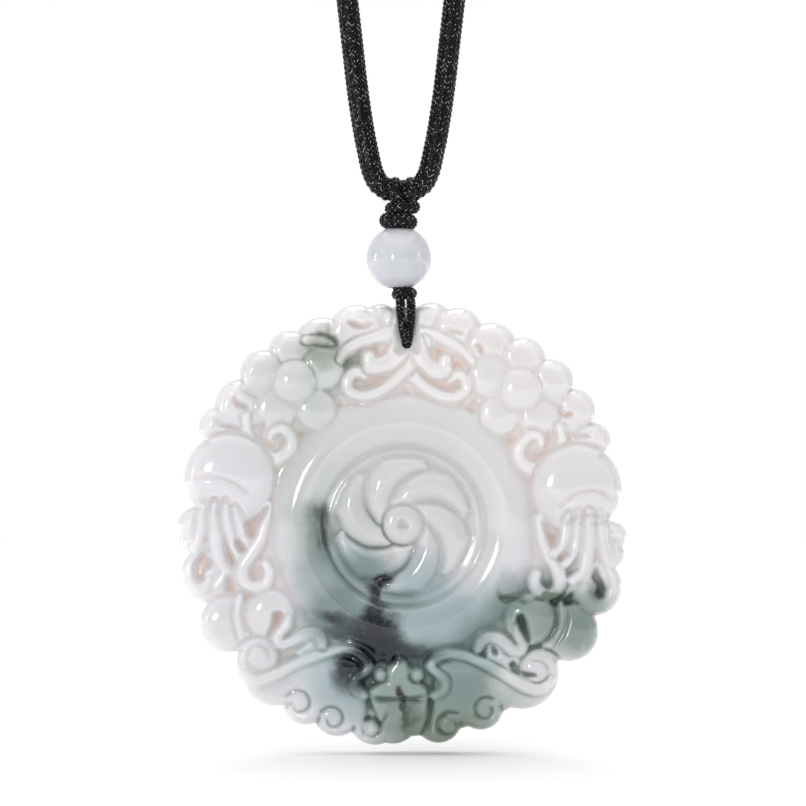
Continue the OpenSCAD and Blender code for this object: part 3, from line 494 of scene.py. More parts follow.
# Curled lines on the bat's wings: x, z, radius and where they start in degrees
SWIRLS = [
    (-47, -79.4, 6.4, 150), (-32, -86.4, 6, 150), (-14.7, -90.6, 4.8, 120),
    (20.3, -89.4, 6.4, 60), (36.6, -82.4, 6, 60),
]
BAT_HEAD = [
    (-3.8, -57.6), (-1.2, -57.4), (1, -60), (3.4, -63.4), (4.2, -68), (8.6, -71.2), (10.6, -73),
    (11, -77), (-15.6, -77), (-15.6, -73.5), (-13.6, -71.8), (-8.8, -69.4), (-7.4, -63.6),
    (-5.2, -60.6),
]
BAT_BODY = [
    (-15.6, -76), (11, -76), (11.6, -84), (9.8, -89.5), (7.4, -94), (6, -104), (-24, -104),
    (-20, -95), (-16, -88), (-15, -80),
]
BAT_FANG = [(-14.6, -78.6), (-5, -79), (-5.2, -82), (-10.7, -87.6), (-13, -84)]
BAT_FLAP = [(2.8, -79.2), (10, -78.4), (9.8, -83.2), (7, -85.4), (2.6, -87.4)]
WING_LEFT = [
    (-74, -58), (-66, -58), (-56, -62), (-46, -60), (-30, -57), (-20, -60), (-17, -72),
    (-16, -88), (-20, -104), (-60, -104), (-84, -66),
]
WING_RIGHT = [
    (66, -58), (60, -62), (52, -66), (40, -62), (26, -58), (15, -61), (13, -72), (12, -84),
    (10, -90), (7, -95), (6, -104), (50, -104), (82, -66), (72, -58),
]
# Creases between the scallops of the lower rim, from the rim inwards
SCALLOPS = [
    [(-54.5, -84.5), (-51.5, -79.5)], [(-39.6, -91), (-37.8, -86)],
    [(-23.6, -96), (-22.4, -90.5)], [(25.4, -94), (25.6, -88.5)], [(45, -86), (43.4, -81)],
]


# Carved disc: its relief, as the thickness in millimetres over a grid

DISC_X = 0.4
DISC_Z = -276.242
BACK_Y = 2.8
# A hundredth of the radius in millimetres
SHARE = 0.28
# Thickness before the carving, and the rim's radius between its lobes
START = 4.95
BASE_R = 91.5
# Where the front's rounded edge ends, over the back
MID = 2.4
# Pits: their floor, how high their walls rise, how far outside the outline they start
# and how wide they are
FLOOR = 4.5
WALL_RISE = 1.5
WALL_START = 0.5
WALL_REACH = 2.4
# How far a groove beside a shape rises to its outer edge
MOAT_RISE = 0.9
# Pads fall off towards the rim from this radius, over this distance
FALL_FROM = 60
FALL_OVER = 30
# Level way for the strands: its height over the back in millimetres; its half width, lower
# end and soft edge in hundredths
REST_HIGH = 4.96
REST_HALF = 2.2
REST_END = 80.5
REST_EDGE = 2.6
# Steps of the grid and longest step along a carved line, in hundredths
GRID = 0.35
STEP = 1.2
SIDE = np.arange(-104, 104 + GRID, GRID)
GX, GZ = np.meshgrid(SIDE, SIDE)
relief = np.full(GX.shape, START)

# Round forms: height at the foot and at the top, flatness and depth of the groove round it
LOBE = {"foot": 5.15, "top": 5.9, "flat": 2.8, "groove": 5.0}
PETAL = {"foot": 5.35, "top": 6.0, "flat": 2.8, "groove": 5.45}
FLOWER_BALL = {"foot": 5.5, "top": 6.7, "flat": 2.3, "groove": 5.65}
POUCH = {"foot": 5.0, "top": 6.9, "flat": 2.5, "groove": 4.9}
GOURD_LOW = {"foot": 5.1, "top": 6.4, "flat": 2.5, "groove": 4.95}
GOURD_HIGH = {"foot": 5.1, "top": 6.45, "flat": 2.6, "groove": 5.2}
CURL = {"foot": 5.3, "top": 6.4, "flat": 2.8, "groove": 5.2}
BUD = {"foot": 5.4, "top": 6.15, "flat": 2.6, "groove": 5.1}
KNOB = {"foot": 5.6, "top": 6.45, "flat": 2.0, "groove": 5.3}
WHIRL_BUTTON = {"foot": 5.2, "top": 5.95, "flat": 4, "groove": 4.7}
BUTTON_DIP = {"foot": 5.6, "top": 5.4, "flat": 2}
BUTTON_DOT = {"foot": 5.4, "top": 5.6, "flat": 2}
# Bands: height, fall to their sides, depth of the groove beside them, and extra width
ARM = {"top": 6.1, "drop": 0.8, "groove": 5.0}
SCROLL = {"top": 6.3, "drop": 0.8, "groove": 5.0}
HOOK = {"top": 6.45, "drop": 0.8, "groove": 5.0}
COLLAR = {"top": 6.3, "drop": 0.6, "groove": 5.6}
RIBBON = {"top": 6.3, "drop": 0.75, "groove": 5.6, "wider": 0.9}
WING_EDGE = {"top": 6.5, "drop": 0.6, "groove": 5.35, "wider": 0.6}
STEM = {"top": 6.4, "drop": 0.75, "groove": 5.3, "wider": 0.8}
# Pads: height, width of the rounded edge and fall towards the rim
WING_PAD = {"top": 6.05, "edge": 5, "slope": 0.5}
BODY_PAD = {"top": 5.85, "edge": 3, "slope": 0.4}
HEAD_PAD = {"top": 6.35, "edge": 3.2}
FANG_PAD = {"top": 6.25, "edge": 2.4}
FLAP_PAD = {"top": 6.2, "edge": 2.4}
# Cut lines: depth in millimetres and width in hundredths of the radius
SCALLOP_CUT = {"deep": 0.7, "wide": 2.2}
GROOVE_CUT = {"deep": 0.5, "wide": 1.4}
SWIRL_CUT = {"deep": 0.6, "wide": 1.6}


def window(x0, x1, z0, z1, room):
    """Part of the grid round a box."""
    a, b = np.searchsorted(SIDE, (x0 - room, x1 + room))
    c, d = np.searchsorted(SIDE, (z0 - room, z1 + room))
    return slice(c, d), slice(a, b)


def window_round(points, room):
    """Part of the grid round a row of points."""
    return window(points[:, 0].min(), points[:, 0].max(), points[:, 1].min(),
                  points[:, 1].max(), room)


def blur(field, width):
    """Soft copy of a grid; width in hundredths of the radius."""
    reach = max(1, round(3 * width / GRID))
    marks = np.arange(-reach, reach + 1)
    kernel = np.exp(-0.5 * (marks * GRID / width) ** 2)
    kernel /= kernel.sum()
    for axis in (0, 1):
        padded = np.pad(field, [(reach, reach) if k == axis else (0, 0) for k in (0, 1)], "edge")
        field = sum(k * np.take(padded, np.arange(field.shape[axis]) + i, axis)
                    for i, k in enumerate(kernel))
    return field


def to_line(x, z, rows):
    """Distance to a line of rows and how wide it is at the nearest point."""
    near = np.full(x.shape, 1e9)
    width = np.ones(x.shape)
    share = np.full(x.shape, 1e9)
    for a, b in zip(rows[:-1], rows[1:]):
        way = b[:2] - a[:2]
        t = ((x - a[0]) * way[0] + (z - a[1]) * way[1]) / max(way @ way, 1e-9)
        t = np.clip(t, 0, 1)
        gap = np.hypot(x - a[0] - t * way[0], z - a[1] - t * way[1])
        wide = a[2] + t * (b[2] - a[2])
        nearer = gap / wide < share
        share = np.where(nearer, gap / wide, share)
        near = np.where(nearer, gap, near)
        width = np.where(nearer, wide, width)
    return near, width


def into_outline(x, z, outline):
    """How far a point is inside an outline, less than nothing outside it."""
    near = np.full(x.shape, 1e9)
    inside = np.zeros(x.shape, bool)
    for a, b in zip(outline, np.roll(outline, -1, 0)):
        way = b - a
        t = np.clip(((x - a[0]) * way[0] + (z - a[1]) * way[1]) / max(way @ way, 1e-9), 0, 1)
        near = np.minimum(near, np.hypot(x - a[0] - t * way[0], z - a[1] - t * way[1]))
        if a[1] != b[1]:
            cross = a[0] + (z - a[1]) * way[0] / way[1]
            inside ^= ((a[1] > z) != (b[1] > z)) & (x < cross)
    return np.where(inside, near, -near)


def soft_line(rows):
    """Smooth line of x, z and half width through rows of x, z and width."""
    line = curve_through(rows, STEP)
    line[:, 2] = np.maximum(line[:, 2], 0.6) / 2
    return line


def on_circle(r, degrees):
    return r * math.cos(math.radians(degrees)), r * math.sin(math.radians(degrees))


def moat(view, gap, depth, width=1.1):
    """Narrow groove along the outside of a shape, down to depth."""
    cut = depth + MOAT_RISE * np.clip(gap / width, 0, 1) ** 1.5
    near = (gap >= 0) & (gap < width)
    relief[view] = np.where(near, np.minimum(relief[view], cut), relief[view])


def dome(x, z, r, foot, top, flat, groove=0.0):
    """Round boss, with a groove round it where groove is a depth."""
    view = window(x - r, x + r, z - r, z + r, 2)
    gap = np.hypot(GX[view] - x, GZ[view] - z)
    high = foot + (top - foot) * np.sqrt(np.clip(1 - (gap / r) ** flat, 0, 1))
    relief[view] = np.where(gap < r, high, relief[view])
    if groove:
        moat(view, gap - r, groove)


def band(rows, top, drop, groove, wider=0.0):
    """Rounded band along rows of x, z and width, lying over what is there."""
    line = soft_line([(x, z, width + wider) for x, z, width in rows])
    view = window_round(line, line[:, 2].max() + 2)
    gap, half = to_line(GX[view], GZ[view], line)
    # Narrow bands fall less
    fall = np.minimum(drop, half * SHARE * 1.1)
    t = gap / half
    moat(view, gap - half, groove, 1.0)
    high = top - fall + fall * np.sqrt(np.clip(1 - t * t, 0, 1))
    relief[view] = np.where(t < 1, high, relief[view])


def slab(outline, top, edge, slope=0.0):
    """Pad with a rounded edge; slope lets it fall towards the rim."""
    outline = np.array(outline, float)
    view = window_round(outline, 2)
    deep = into_outline(GX[view], GZ[view], outline)
    t = 1 - np.clip(deep / edge, 0, 1)
    far = np.hypot(GX[view], GZ[view])
    fall = slope * np.clip((far - FALL_FROM) / FALL_OVER, 0, 1) ** 2
    high = top - fall - edge * SHARE * 0.8 * (1 - np.sqrt(1 - t * t))
    relief[view] = np.where(deep > 0, high, relief[view])


def sink(view, deep):
    """Lower the surface to the floor, with walls that slope inwards."""
    wall = 1 - np.clip((deep + WALL_START) / WALL_REACH, 0, 1)
    low = FLOOR + WALL_RISE * wall ** 1.6
    relief[view] = np.where(deep > -WALL_START, np.minimum(relief[view], low), relief[view])


def pit(outline):
    """Hole with a flat floor."""
    outline = np.array(outline, float)
    view = window_round(outline, 1)
    sink(view, into_outline(GX[view], GZ[view], outline))


def trench(rows):
    """Hole along rows of x, z and width."""
    line = soft_line(rows)
    view = window_round(line, 4)
    gap, half = to_line(GX[view], GZ[view], line)
    sink(view, half - gap)


def incised(rows, deep, wide):
    """Line cut into the surface with a soft bottom."""
    line = curve_through([(x, z, 1) for x, z in rows], STEP)
    view = window_round(line, 4)
    gap, _ = to_line(GX[view], GZ[view], line)
    relief[view] -= deep * np.exp(-(gap / (wide * 0.55)) ** 2)


# The ring in the middle and the whirl inside it

RING_R = 60
# Distance from the middle and height
RING_PROFILE = [
    (0, 4.7), (28, 4.8), (30.6, 5.0), (31.3, 4.8), (32, 5.05), (33.5, 5.1), (35, 5.05),
    (35.7, 4.75), (36.4, 5.15), (38, 5.65), (41, 6.05), (45, 6.28), (49, 6.26), (52, 6.1),
    (55, 5.75), (57.5, 5.35), (59.5, 5.0), (61, 4.95),
]
WHIRL_X, WHIRL_Z = -0.5, 0.5
WHIRL_R = 31.0
# Whirl petals: height at their edges, rise to the middle and reach of the rounding
PETAL_FOOT = 4.7
PETAL_RISE = 1.55
PETAL_ROUND = 7.6
# Edge of one whirl petal, as distance and degrees
PETAL_EDGE = [(8.4, 127), (11.8, 116), (18.4, 93.4), (23.6, 76), (27.6, 63), (31.2, 52)]
# Its blunt corner at the rim: the middle in degrees, and distances and radians from there
CORNER_AT = 57
PETAL_CORNER = [(31.5, 0.26), (31.5, -0.14), (29.6, -0.08), (27.4, 0.13)]


def ring_and_whirl():
    """Convex ring, the channel inside it, six curled petals and a button."""
    far = np.hypot(GX, GZ)
    profile = curve_through(RING_PROFILE, 0.5)
    ring = far < RING_R
    relief[ring] = np.interp(far[ring], profile[:, 0], profile[:, 1])
    view = window(-33, 33, -33, 33, 0)
    x, z = GX[view] - WHIRL_X, GZ[view] - WHIRL_Z
    far = np.hypot(x, z)
    edge = np.full(x.shape, 1e9)
    for turned in range(0, 360, 60):
        line = curve_through([(*on_circle(r, a + turned), 1) for r, a in PETAL_EDGE], 1.0)
        middle = math.radians(CORNER_AT + turned)
        corner = np.array([(r * math.cos(middle + a), r * math.sin(middle + a))
                           for r, a in PETAL_CORNER])
        edge = np.minimum(edge, to_line(x, z, line)[0])
        edge = np.minimum(edge, np.clip(-into_outline(x, z, corner), 0, None))
    rim = np.clip(WHIRL_R - far, 0, None)
    soft = (np.maximum(edge, 0.05) ** -3.0 + np.maximum(rim, 0.05) ** -3.0) ** (-1 / 3)
    t = 1 - np.clip(soft / PETAL_ROUND, 0, 1)
    petals = PETAL_FOOT + PETAL_RISE * np.sqrt(1 - t * t)
    relief[view] = np.where(far < WHIRL_R, petals, relief[view])
    dome(WHIRL_X, WHIRL_Z, 9, **WHIRL_BUTTON)
    dome(WHIRL_X, WHIRL_Z, 2.4, **BUTTON_DIP)
    dome(WHIRL_X, WHIRL_Z, 1.1, **BUTTON_DOT)


def flower(ball, petals):
    """Round petals with a ball in the middle."""
    for x, z, r in petals:
        dome(x, z, r + 0.4, **PETAL)
    dome(*ball, **FLOWER_BALL)


def curl(centre, deep, line):
    """Round end of a scroll, with a line cut into it."""
    dome(*centre, **CURL)
    incised(line, deep, GROOVE_CUT["wide"])


def carve():
    """All of the carving, from the lowest shapes to those that lie over them."""
    for x, z, r in RIM_LOBES:
        # The bat's wings take the place of the lowest lobes
        if z > -60 or abs(x) > 64:
            dome(x, z, r + 0.3, **LOBE)
    slab(WING_LEFT, **WING_PAD)
    slab(WING_RIGHT, **WING_PAD)
    for rows in SCALLOPS:
        incised(rows, **SCALLOP_CUT)
    ring_and_whirl()
    for low, high, collar in GOURDS:
        dome(*low, **GOURD_LOW)
        band(collar, **COLLAR)
        dome(*high, **GOURD_HIGH)
    flower(*FLOWER_LEFT)
    flower(*FLOWER_RIGHT)
    for shape, look in ((ARMS_TOP, ARM), (SCROLLS, SCROLL), (HOOKS, HOOK)):
        for rows in shape:
            band(rows, **look)
    for belly in POUCHES:
        dome(*belly, **POUCH)
    for rows in RIBBONS:
        band(rows, **RIBBON)
    for centre, deep, line in CURLS:
        curl(centre, deep, line)
    for bud in BUDS:
        dome(*bud, **BUD)
    for shape, look in ((WINGS, WING_EDGE), (STEMS, STEM)):
        for rows in shape:
            band(rows, **look)
    slab(BAT_BODY, **BODY_PAD)
    slab(BAT_FANG, **FANG_PAD)
    slab(BAT_FLAP, **FLAP_PAD)
    slab(BAT_HEAD, **HEAD_PAD)
    for knob in BAT_KNOBS:
        dome(*knob, **KNOB)
    for outline in PITS:
        pit(outline)
    for rows in TRENCHES:
        trench(rows)
    for rows in GROOVES:
        incised(rows, **GROOVE_CUT)
    # Each swirl goes round by 320 degrees and gets narrower
    for x, z, r, start in SWIRLS:
        way = -1 if x < 0 else 1
        turns = [on_circle(r * (1 - 0.55 * i / 8), start + way * i * 40) for i in range(9)]
        incised([(x + across, z + up) for across, up in turns], **SWIRL_CUT)


# The lower rim's notches are this much shallower, from a sine of the angle downwards
SHALLOWER = 3.9
LOWER_FROM = -0.62
LOWER_OVER = 0.14


def rim_at(angle):
    """Radius of the outline at an angle, in hundredths."""
    out = BASE_R + SHALLOWER * np.clip((LOWER_FROM - np.sin(angle)) / LOWER_OVER, 0, 1)
    for x, z, r in RIM_LOBES + FLOWER_LEFT[1] + FLOWER_RIGHT[1] + RIM_SIDES:
        far = math.hypot(x, z)
        turn = angle - math.atan2(z, x)
        side = far * np.sin(turn)
        hit = (np.abs(side) < r) & (np.cos(turn) > 0)
        reach = far * np.cos(turn) + np.sqrt(np.clip(r * r - side * side, 0, None))
        out = np.where(hit, np.maximum(out, reach), out)
    return out


def sample(field, x, z):
    """Value of a grid between its points."""
    i = np.clip((x - SIDE[0]) / GRID, 0, len(SIDE) - 1.001)
    k = np.clip((z - SIDE[0]) / GRID, 0, len(SIDE) - 1.001)
    a, b = i.astype(int), k.astype(int)
    u, v = i - a, k - b
    return ((field[b, a] * (1 - u) + field[b, a + 1] * u) * (1 - v)
            + (field[b + 1, a] * (1 - u) + field[b + 1, a + 1] * u) * v)


# Points in each ring of the outer zone, and where the inner zones end, in millimetres
AROUND = 960
EDGE_WIDTH = 1.6
INNER_ZONES = [(AROUND // 4, 0.2, 8.4, 42), (AROUND // 2, 8.6, 16.2, 39)]
OUTER_FROM = 16.4
OUTER_ROWS = 58
# Steps in from the rim on the front, and on the back with their thickness
EDGE_STEPS = [1.7, 1.45, 1.22, 1.0, 0.8, 0.6, 0.43, 0.28, 0.16, 0.07, 0.02, 0.0]
BACK_STEPS = [(0.0, 1.6), (0.0, 1.0), (0.12, 0.62), (0.38, 0.3), (0.75, 0.08), (1.15, 0.0)]


def between(inner, outer):
    """Faces between two rings of point numbers; the outer may have twice as many."""
    if len(inner) == len(outer):
        return list(zip(inner, outer, np.roll(outer, -1), np.roll(inner, -1)))
    faces = []
    for k, p in enumerate(inner):
        q = inner[(k + 1) % len(inner)]
        m, n, o = outer[2 * k], outer[2 * k + 1], outer[(2 * k + 2) % len(outer)]
        faces += [(p, m, n), (p, n, q), (q, n, o)]
    return faces


def disc_mesh(field):
    """Points and faces of the disc: rings of points, twice as many further out."""
    angle = np.arange(AROUND) * 2 * math.pi / AROUND
    rim = rim_at(angle)
    rim = 0.25 * np.roll(rim, 1) + 0.5 * rim + 0.25 * np.roll(rim, -1)
    # Rings as angles, radii and thickness, which is None where the relief gives it
    rings = []
    for count, first, last, rows in INNER_ZONES:
        around = np.arange(count) * 2 * math.pi / count
        rings += [(around, np.full(count, r), None)
                  for r in np.linspace(first, last, rows) / SHARE]
    inner, outer = OUTER_FROM / SHARE, rim - EDGE_STEPS[0] / SHARE
    rings += [(angle, inner + (outer - inner) * t, None)
              for t in np.linspace(0, 1, OUTER_ROWS)[:-1]]
    rings += [(angle, rim - step / SHARE, None) for step in EDGE_STEPS]
    rings += [(angle, rim - step / SHARE, thick) for step, thick in BACK_STEPS]
    points = [np.array([[0.0, 0.0, sample(field, np.zeros(1), np.zeros(1))[0]]])]
    faces = []
    before, first = None, 1
    for a, r, thick in rings:
        x, z = r * np.cos(a), r * np.sin(a)
        high = sample(field, x, z) if thick is None else np.full(len(a), thick)
        if thick is None and len(a) == AROUND:
            # The front's edge is rounded
            t = np.clip(1 - (rim - r) * SHARE / EDGE_WIDTH, 0, 1)
            high = MID + (high - MID) * np.sqrt(np.clip(1 - t * t, 0, 1))
        points.append(np.column_stack([x, z, high]))
        here = first + np.arange(len(a))
        if before is None:
            faces += [(0, p, q) for p, q in zip(here, np.roll(here, -1))]
        else:
            faces += between(before, here)
        before, first = here, first + len(a)
    faces.append(before[::-1])
    places = np.concatenate(points)
    world = np.column_stack([DISC_X + places[:, 0] * SHARE, BACK_Y - places[:, 2],
                             DISC_Z + places[:, 1] * SHARE]) * MM
    return world, [tuple(int(k) for k in face) for face in faces]


# Materials

def new_material(name):
    """Material, its shader and its nodes."""
    made = bpy.data.materials.new(name)
    made.use_nodes = True
    return made, made.node_tree.nodes["Principled BSDF"], Nodes(made.node_tree)


WHITE_COOL = srgb(216, 214, 218)
WHITE_MILK = srgb(211, 210, 213)
WHITE_DULL = srgb(202, 201, 203)
WHITE_WARM = srgb(221, 218, 217)
# Painted light and shade for the thin creases and pits: the warm pair is painted light gathering
# there, so it is over 1; the teal pair is painted shade
PIT_PAINTED_LIGHT_WARM = (1.055, 0.965, 0.9, 1.0)
CREASE_PAINTED_LIGHT_WARM = (1.11, 1.095, 1.07, 1.0)
PIT_PAINTED_SHADE_TEAL = srgb(198, 212, 206)
CREASE_PAINTED_SHADE_TEAL = srgb(196, 206, 200)
TEAL_PALE = srgb(178, 193, 197)
TEAL = srgb(148, 168, 173)
TEAL_GREEN = srgb(146, 163, 157)
TEAL_DEEP = srgb(112, 132, 130)
GREEN = srgb(84, 101, 88)
GREEN_GREY = srgb(128, 144, 136)
GREEN_PALE = srgb(182, 193, 185)
OLIVE = srgb(116, 128, 104)
OLIVE_GREY = srgb(116, 128, 114)
SLATE = srgb(44, 60, 66)
INK = srgb(12, 20, 29)
BEAD_PALE = srgb(203, 204, 210)
BEAD_LILAC = srgb(195, 197, 204)
NYLON = srgb(4, 4, 7)
PAINTED_GLINT = srgb(205, 205, 212)

# Clouds of colour in the stone, in hundredths of the disc's radius: centre x
# and z, half width, half height, turn in degrees, strength, softness, colour
STONE_CLOUDS = [
    (30, 62, 70, 50, 0, 0.7, 0.6, WHITE_WARM),
    (-6, 6, 46, 50, 0, 0.85, 0.4, WHITE_DULL),
    (-42, 66, 28, 24, 0, 0.55, 0.5, WHITE_DULL),
    (-49, 64, 24, 22, 0, 0.18, 0.5, GREEN_PALE),
    (-44, 22, 12, 22, 0, 0.35, 0.7, GREEN_PALE),
    (-36, 79, 10, 8, -30, 0.62, 0.6, OLIVE),
    (-36, 60, 9, 13, 0, 0.3, 0.6, GREEN_PALE),
    (2, -56, 52, 30, 0, 0.9, 0.35, TEAL_PALE),
    (26, -44, 34, 15, 20, 0.75, 0.6, TEAL),
    (46, -33, 11, 8, 40, 0.75, 0.7, TEAL_DEEP),
    (36, -46, 12, 8, 30, 0.7, 0.7, TEAL_DEEP),
    (2, -57, 24, 6, 0, 0.85, 0.7, TEAL_DEEP),
    (66, -46, 22, 17, 10, 0.75, 0.4, GREEN_GREY),
    (76, -42, 15, 12, 0, 0.65, 0.6, TEAL_DEEP),
    (86, -34, 9, 8, 30, 0.6, 0.6, GREEN_GREY),
    (32, -76, 34, 14, 12, 0.8, 0.5, TEAL_GREEN),
    (26, -73, 14, 11, 10, 0.7, 0.6, TEAL_DEEP),
    (48, -54, 11, 7, -30, 0.55, 0.6, WHITE_MILK),
    (58, -68, 16, 12, 20, 0.85, 0.5, WHITE_MILK),
    (24, -89, 20, 9, 0, 0.7, 0.5, GREEN_GREY),
    (14, -93, 22, 8, 4, 0.9, 0.5, OLIVE_GREY),
    (-25, -73, 14, 11, -10, 0.5, 0.6, TEAL),
    (-30, -88, 16, 7, 0, 0.2, 0.6, TEAL),
    (-26, 8, 12, 20, 10, 0.35, 0.7, GREEN_PALE),
    (-24, -17, 14, 10, -20, 0.85, 0.5, TEAL),
    (-16, -19, 11, 8, -10, 0.85, 0.6, TEAL_DEEP),
    (8, -24, 12, 12, 0, 0.7, 0.5, TEAL),
    (-36, -22, 9, 17, 12, 0.5, 0.6, TEAL_DEEP),
    (-42, -27, 8, 12, 24, 0.5, 0.7, TEAL),
    (-38, 0, 5, 11, 6, 0.75, 0.7, GREEN),
    (-44, -4, 7, 12, 8, 0.4, 0.8, TEAL_DEEP),
    (-30, -38, 16, 11, 34, 0.8, 0.5, TEAL_DEEP),
    (-4, -36, 12, 6, 0, 0.6, 0.6, TEAL_DEEP),
    (47, -31.5, 7, 2.2, -14, 0.95, 0.5, GREEN),
    (66, -33.5, 10, 2.6, -8, 0.9, 0.5, GREEN),
    (86, -28, 3.4, 5, 20, 0.7, 0.6, GREEN),
    (-2, -80, 16, 20, 0, 0.75, 0.4, GREEN_GREY),
    (-5, -57, 13, 4.6, 0, 1.0, 0.5, SLATE),
    (-22, -64, 9, 9, -20, 0.9, 0.5, SLATE),
    (-30, -42, 10, 3, -10, 0.7, 0.6, SLATE),
    (-24, -62, 4, 4, 0, 0.8, 0.6, INK),
]
# The inky inclusion has ragged, mottled edges
INK_SPOTS = [
    (-11, -25, 6.5, 3.4, 25, 1.0, 0.5, INK),
    (-12.4, -30.5, 2.8, 4, 15, 0.95, 0.5, INK),
    (-12.4, -38, 5.5, 4.5, 0, 0.95, 0.6, INK),
    (-12, -43.5, 9, 5, 0, 1.0, 0.6, INK),
    (-17, -48.5, 11, 5.4, 0, 1.0, 0.6, INK),
    (-10, -51, 9, 5, 0, 1.0, 0.6, INK),
    (-14, -55.5, 8, 5, 0, 1.0, 0.5, INK),
    (-11, -57, 9.5, 4.4, 0, 1.0, 0.5, INK),
    (6, -58, 9, 2.6, 0, 0.8, 0.7, SLATE),
    (-31, -41, 4, 2.6, -20, 0.8, 0.7, INK),
    (-27, -46.5, 7, 3.4, 20, 0.8, 0.7, SLATE),
    (-24.5, -61.5, 5, 5.5, 0, 0.95, 0.6, INK),
    (-36.4, 5, 2.6, 3.4, 10, 0.8, 0.8, GREEN),
    (-36, -2, 2.6, 9, 6, 0.8, 0.9, SLATE),
    (-2, -74.2, 2, 2.4, 0, 1.0, 0.6, INK),
    (-0.2, -83, 1.4, 8.5, 5, 1.0, 0.6, INK),
    (2.6, -85, 4, 6, -14, 0.8, 0.7, GREEN),
]
# Part of the disc where the stone is green or teal: centre, size and softness
GREEN_PART = [(-20, -20, 25, 26, 0.35), (10, -80, 62, 30, 0.3), (72, -44, 30, 24, 0.4),
              (-40, 76, 18, 14, 0.6)]
# Painted light and shade in lowered parts: attribute, where the painted tint starts and is full
# in millimetres, its colour in white stone and in green stone
HOLLOW_LIGHT_AND_SHADE = [("hollow", 0.25, 1.2, PIT_PAINTED_LIGHT_WARM, PIT_PAINTED_SHADE_TEAL),
          ("crease", 0.03, 0.3, CREASE_PAINTED_LIGHT_WARM, CREASE_PAINTED_SHADE_TEAL)]


def jade_material():
    """Polished white jade with teal, green and inky clouds inside, and painted light and shade in
    its pits and creases.
    """
    made, shader, nodes = new_material("jade_clouded")
    # Places in hundredths of the disc's radius, from its centre
    unit = 1 / (SHARE * MM)
    flat = nodes.add("ShaderNodeMapping", {
        "Vector": nodes.place(), "Scale": (unit, unit, unit),
        "Location": (-DISC_X * MM * unit, 0, -DISC_Z * MM * unit)}).outputs[0]

    def stirred(scale, reach):
        """The place, shifted by noise, so that clouds get uneven edges."""
        stir = nodes.noise(flat, scale, 6, 0.62)["Color"]
        centred = nodes.add("ShaderNodeVectorMath", {0: stir, 1: (0.5, 0.5, 0.5)},
                            operation="SUBTRACT").outputs[0]
        return nodes.add("ShaderNodeVectorMath", {0: centred, 1: (reach, 0, reach), 2: flat},
                         operation="MULTIPLY_ADD").outputs[0]

    def inside_oval(where, x, z, wide, tall, turn, strength, softness):
        """Strength inside an oval, nothing outside, with a soft edge."""
        spot = nodes.add("ShaderNodeMapping", {
            "Vector": where, "Location": (x, 0, z), "Rotation": (0, math.radians(-turn), 0),
            "Scale": (wide, 1000, tall)}, vector_type="TEXTURE").outputs[0]
        far = nodes.add("ShaderNodeVectorMath", {0: spot}, operation="LENGTH").outputs["Value"]
        return nodes.ramp(far, 1 - softness, 1 + softness, strength, 0.0)

    cloudy = nodes.ramp(nodes.noise(flat, 0.05, 4, 0.6)["Fac"], 0.35, 0.65)
    colour = nodes.mix(cloudy, WHITE_COOL, WHITE_MILK)
    mottled = nodes.ramp(nodes.noise(flat, 0.42, 5, 0.65)["Fac"], 0.34, 0.52, 0.84, 1.0)
    for clouds, warped, patchy in ((STONE_CLOUDS, stirred(0.05, 16), False),
                                   (INK_SPOTS, stirred(0.16, 9), True)):
        for *oval, tint in clouds:
            share = inside_oval(warped, *oval)
            if patchy:
                share = nodes.maths("MULTIPLY", share, mottled)
            colour = nodes.mix(share, colour, tint)
    # Painted light and shade in pits and creases: warmer in white stone, darker and greener where
    # the stone is green
    green = 0.0
    for x, z, wide, tall, softness in GREEN_PART:
        green = nodes.maths("MAXIMUM", green,
                            inside_oval(flat, x, z, wide, tall, 0, 1.0, softness))
    for name, low, high, pale, dark in HOLLOW_LIGHT_AND_SHADE:
        deep = nodes.ramp(nodes.attribute(name), low, high)
        colour = nodes.mix(deep, colour, nodes.mix(green, pale, dark), "MULTIPLY")
    nodes.feed(shader, {
        "Base Color": colour, "Roughness": 0.11, "IOR": 1.5, "Subsurface Weight": 0.8,
        "Subsurface Radius": (1.0, 0.86, 0.78), "Subsurface Scale": 0.003,
        "Coat Weight": 0.4, "Coat Roughness": 0.02})
    return made


def bead_material():
    """Pale grey lilac jade with cloudy streaks."""
    made, shader, nodes = new_material("jade_bead")
    streaks = nodes.add("ShaderNodeMapping", {
        "Vector": nodes.place(), "Rotation": (0, math.radians(35), 0),
        "Scale": (260, 260, 520)}).outputs[0]
    cloudy = nodes.ramp(nodes.noise(streaks, 1.0, 6, 0.6, 0.6)["Fac"], 0.38, 0.66)
    nodes.feed(shader, {
        "Base Color": nodes.mix(cloudy, BEAD_PALE, BEAD_LILAC), "Roughness": 0.1, "IOR": 1.45,
        "Subsurface Weight": 0.6, "Subsurface Radius": (1.0, 0.85, 0.8),
        "Subsurface Scale": 0.001, "Coat Weight": 0.1})
    return made


def cord_material():
    """Black nylon with a painted glint: a pale line along the ridge of some stitches."""
    made, shader, nodes = new_material("black_braid")
    # Painted glint: pale colour along the ridge of the stitches that the noise picks
    line = nodes.ramp(nodes.attribute("ridge"), 0.78, 0.98)
    some = nodes.ramp(nodes.noise(nodes.place(), 2600, 2)["Fac"], 0.5, 0.62)
    nodes.feed(shader, {
        "Base Color": nodes.mix(nodes.maths("MULTIPLY", line, some), NYLON, PAINTED_GLINT),
        "Roughness": 0.4, "Specular IOR Level": 0.22})
    return made


JADE = jade_material()
BEAD_JADE = bead_material()
BLACK = cord_material()
BRAID = braid_tree()
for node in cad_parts:
    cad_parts[node].data.materials.clear()
    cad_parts[node].data.materials.append(BLACK)


# Disc

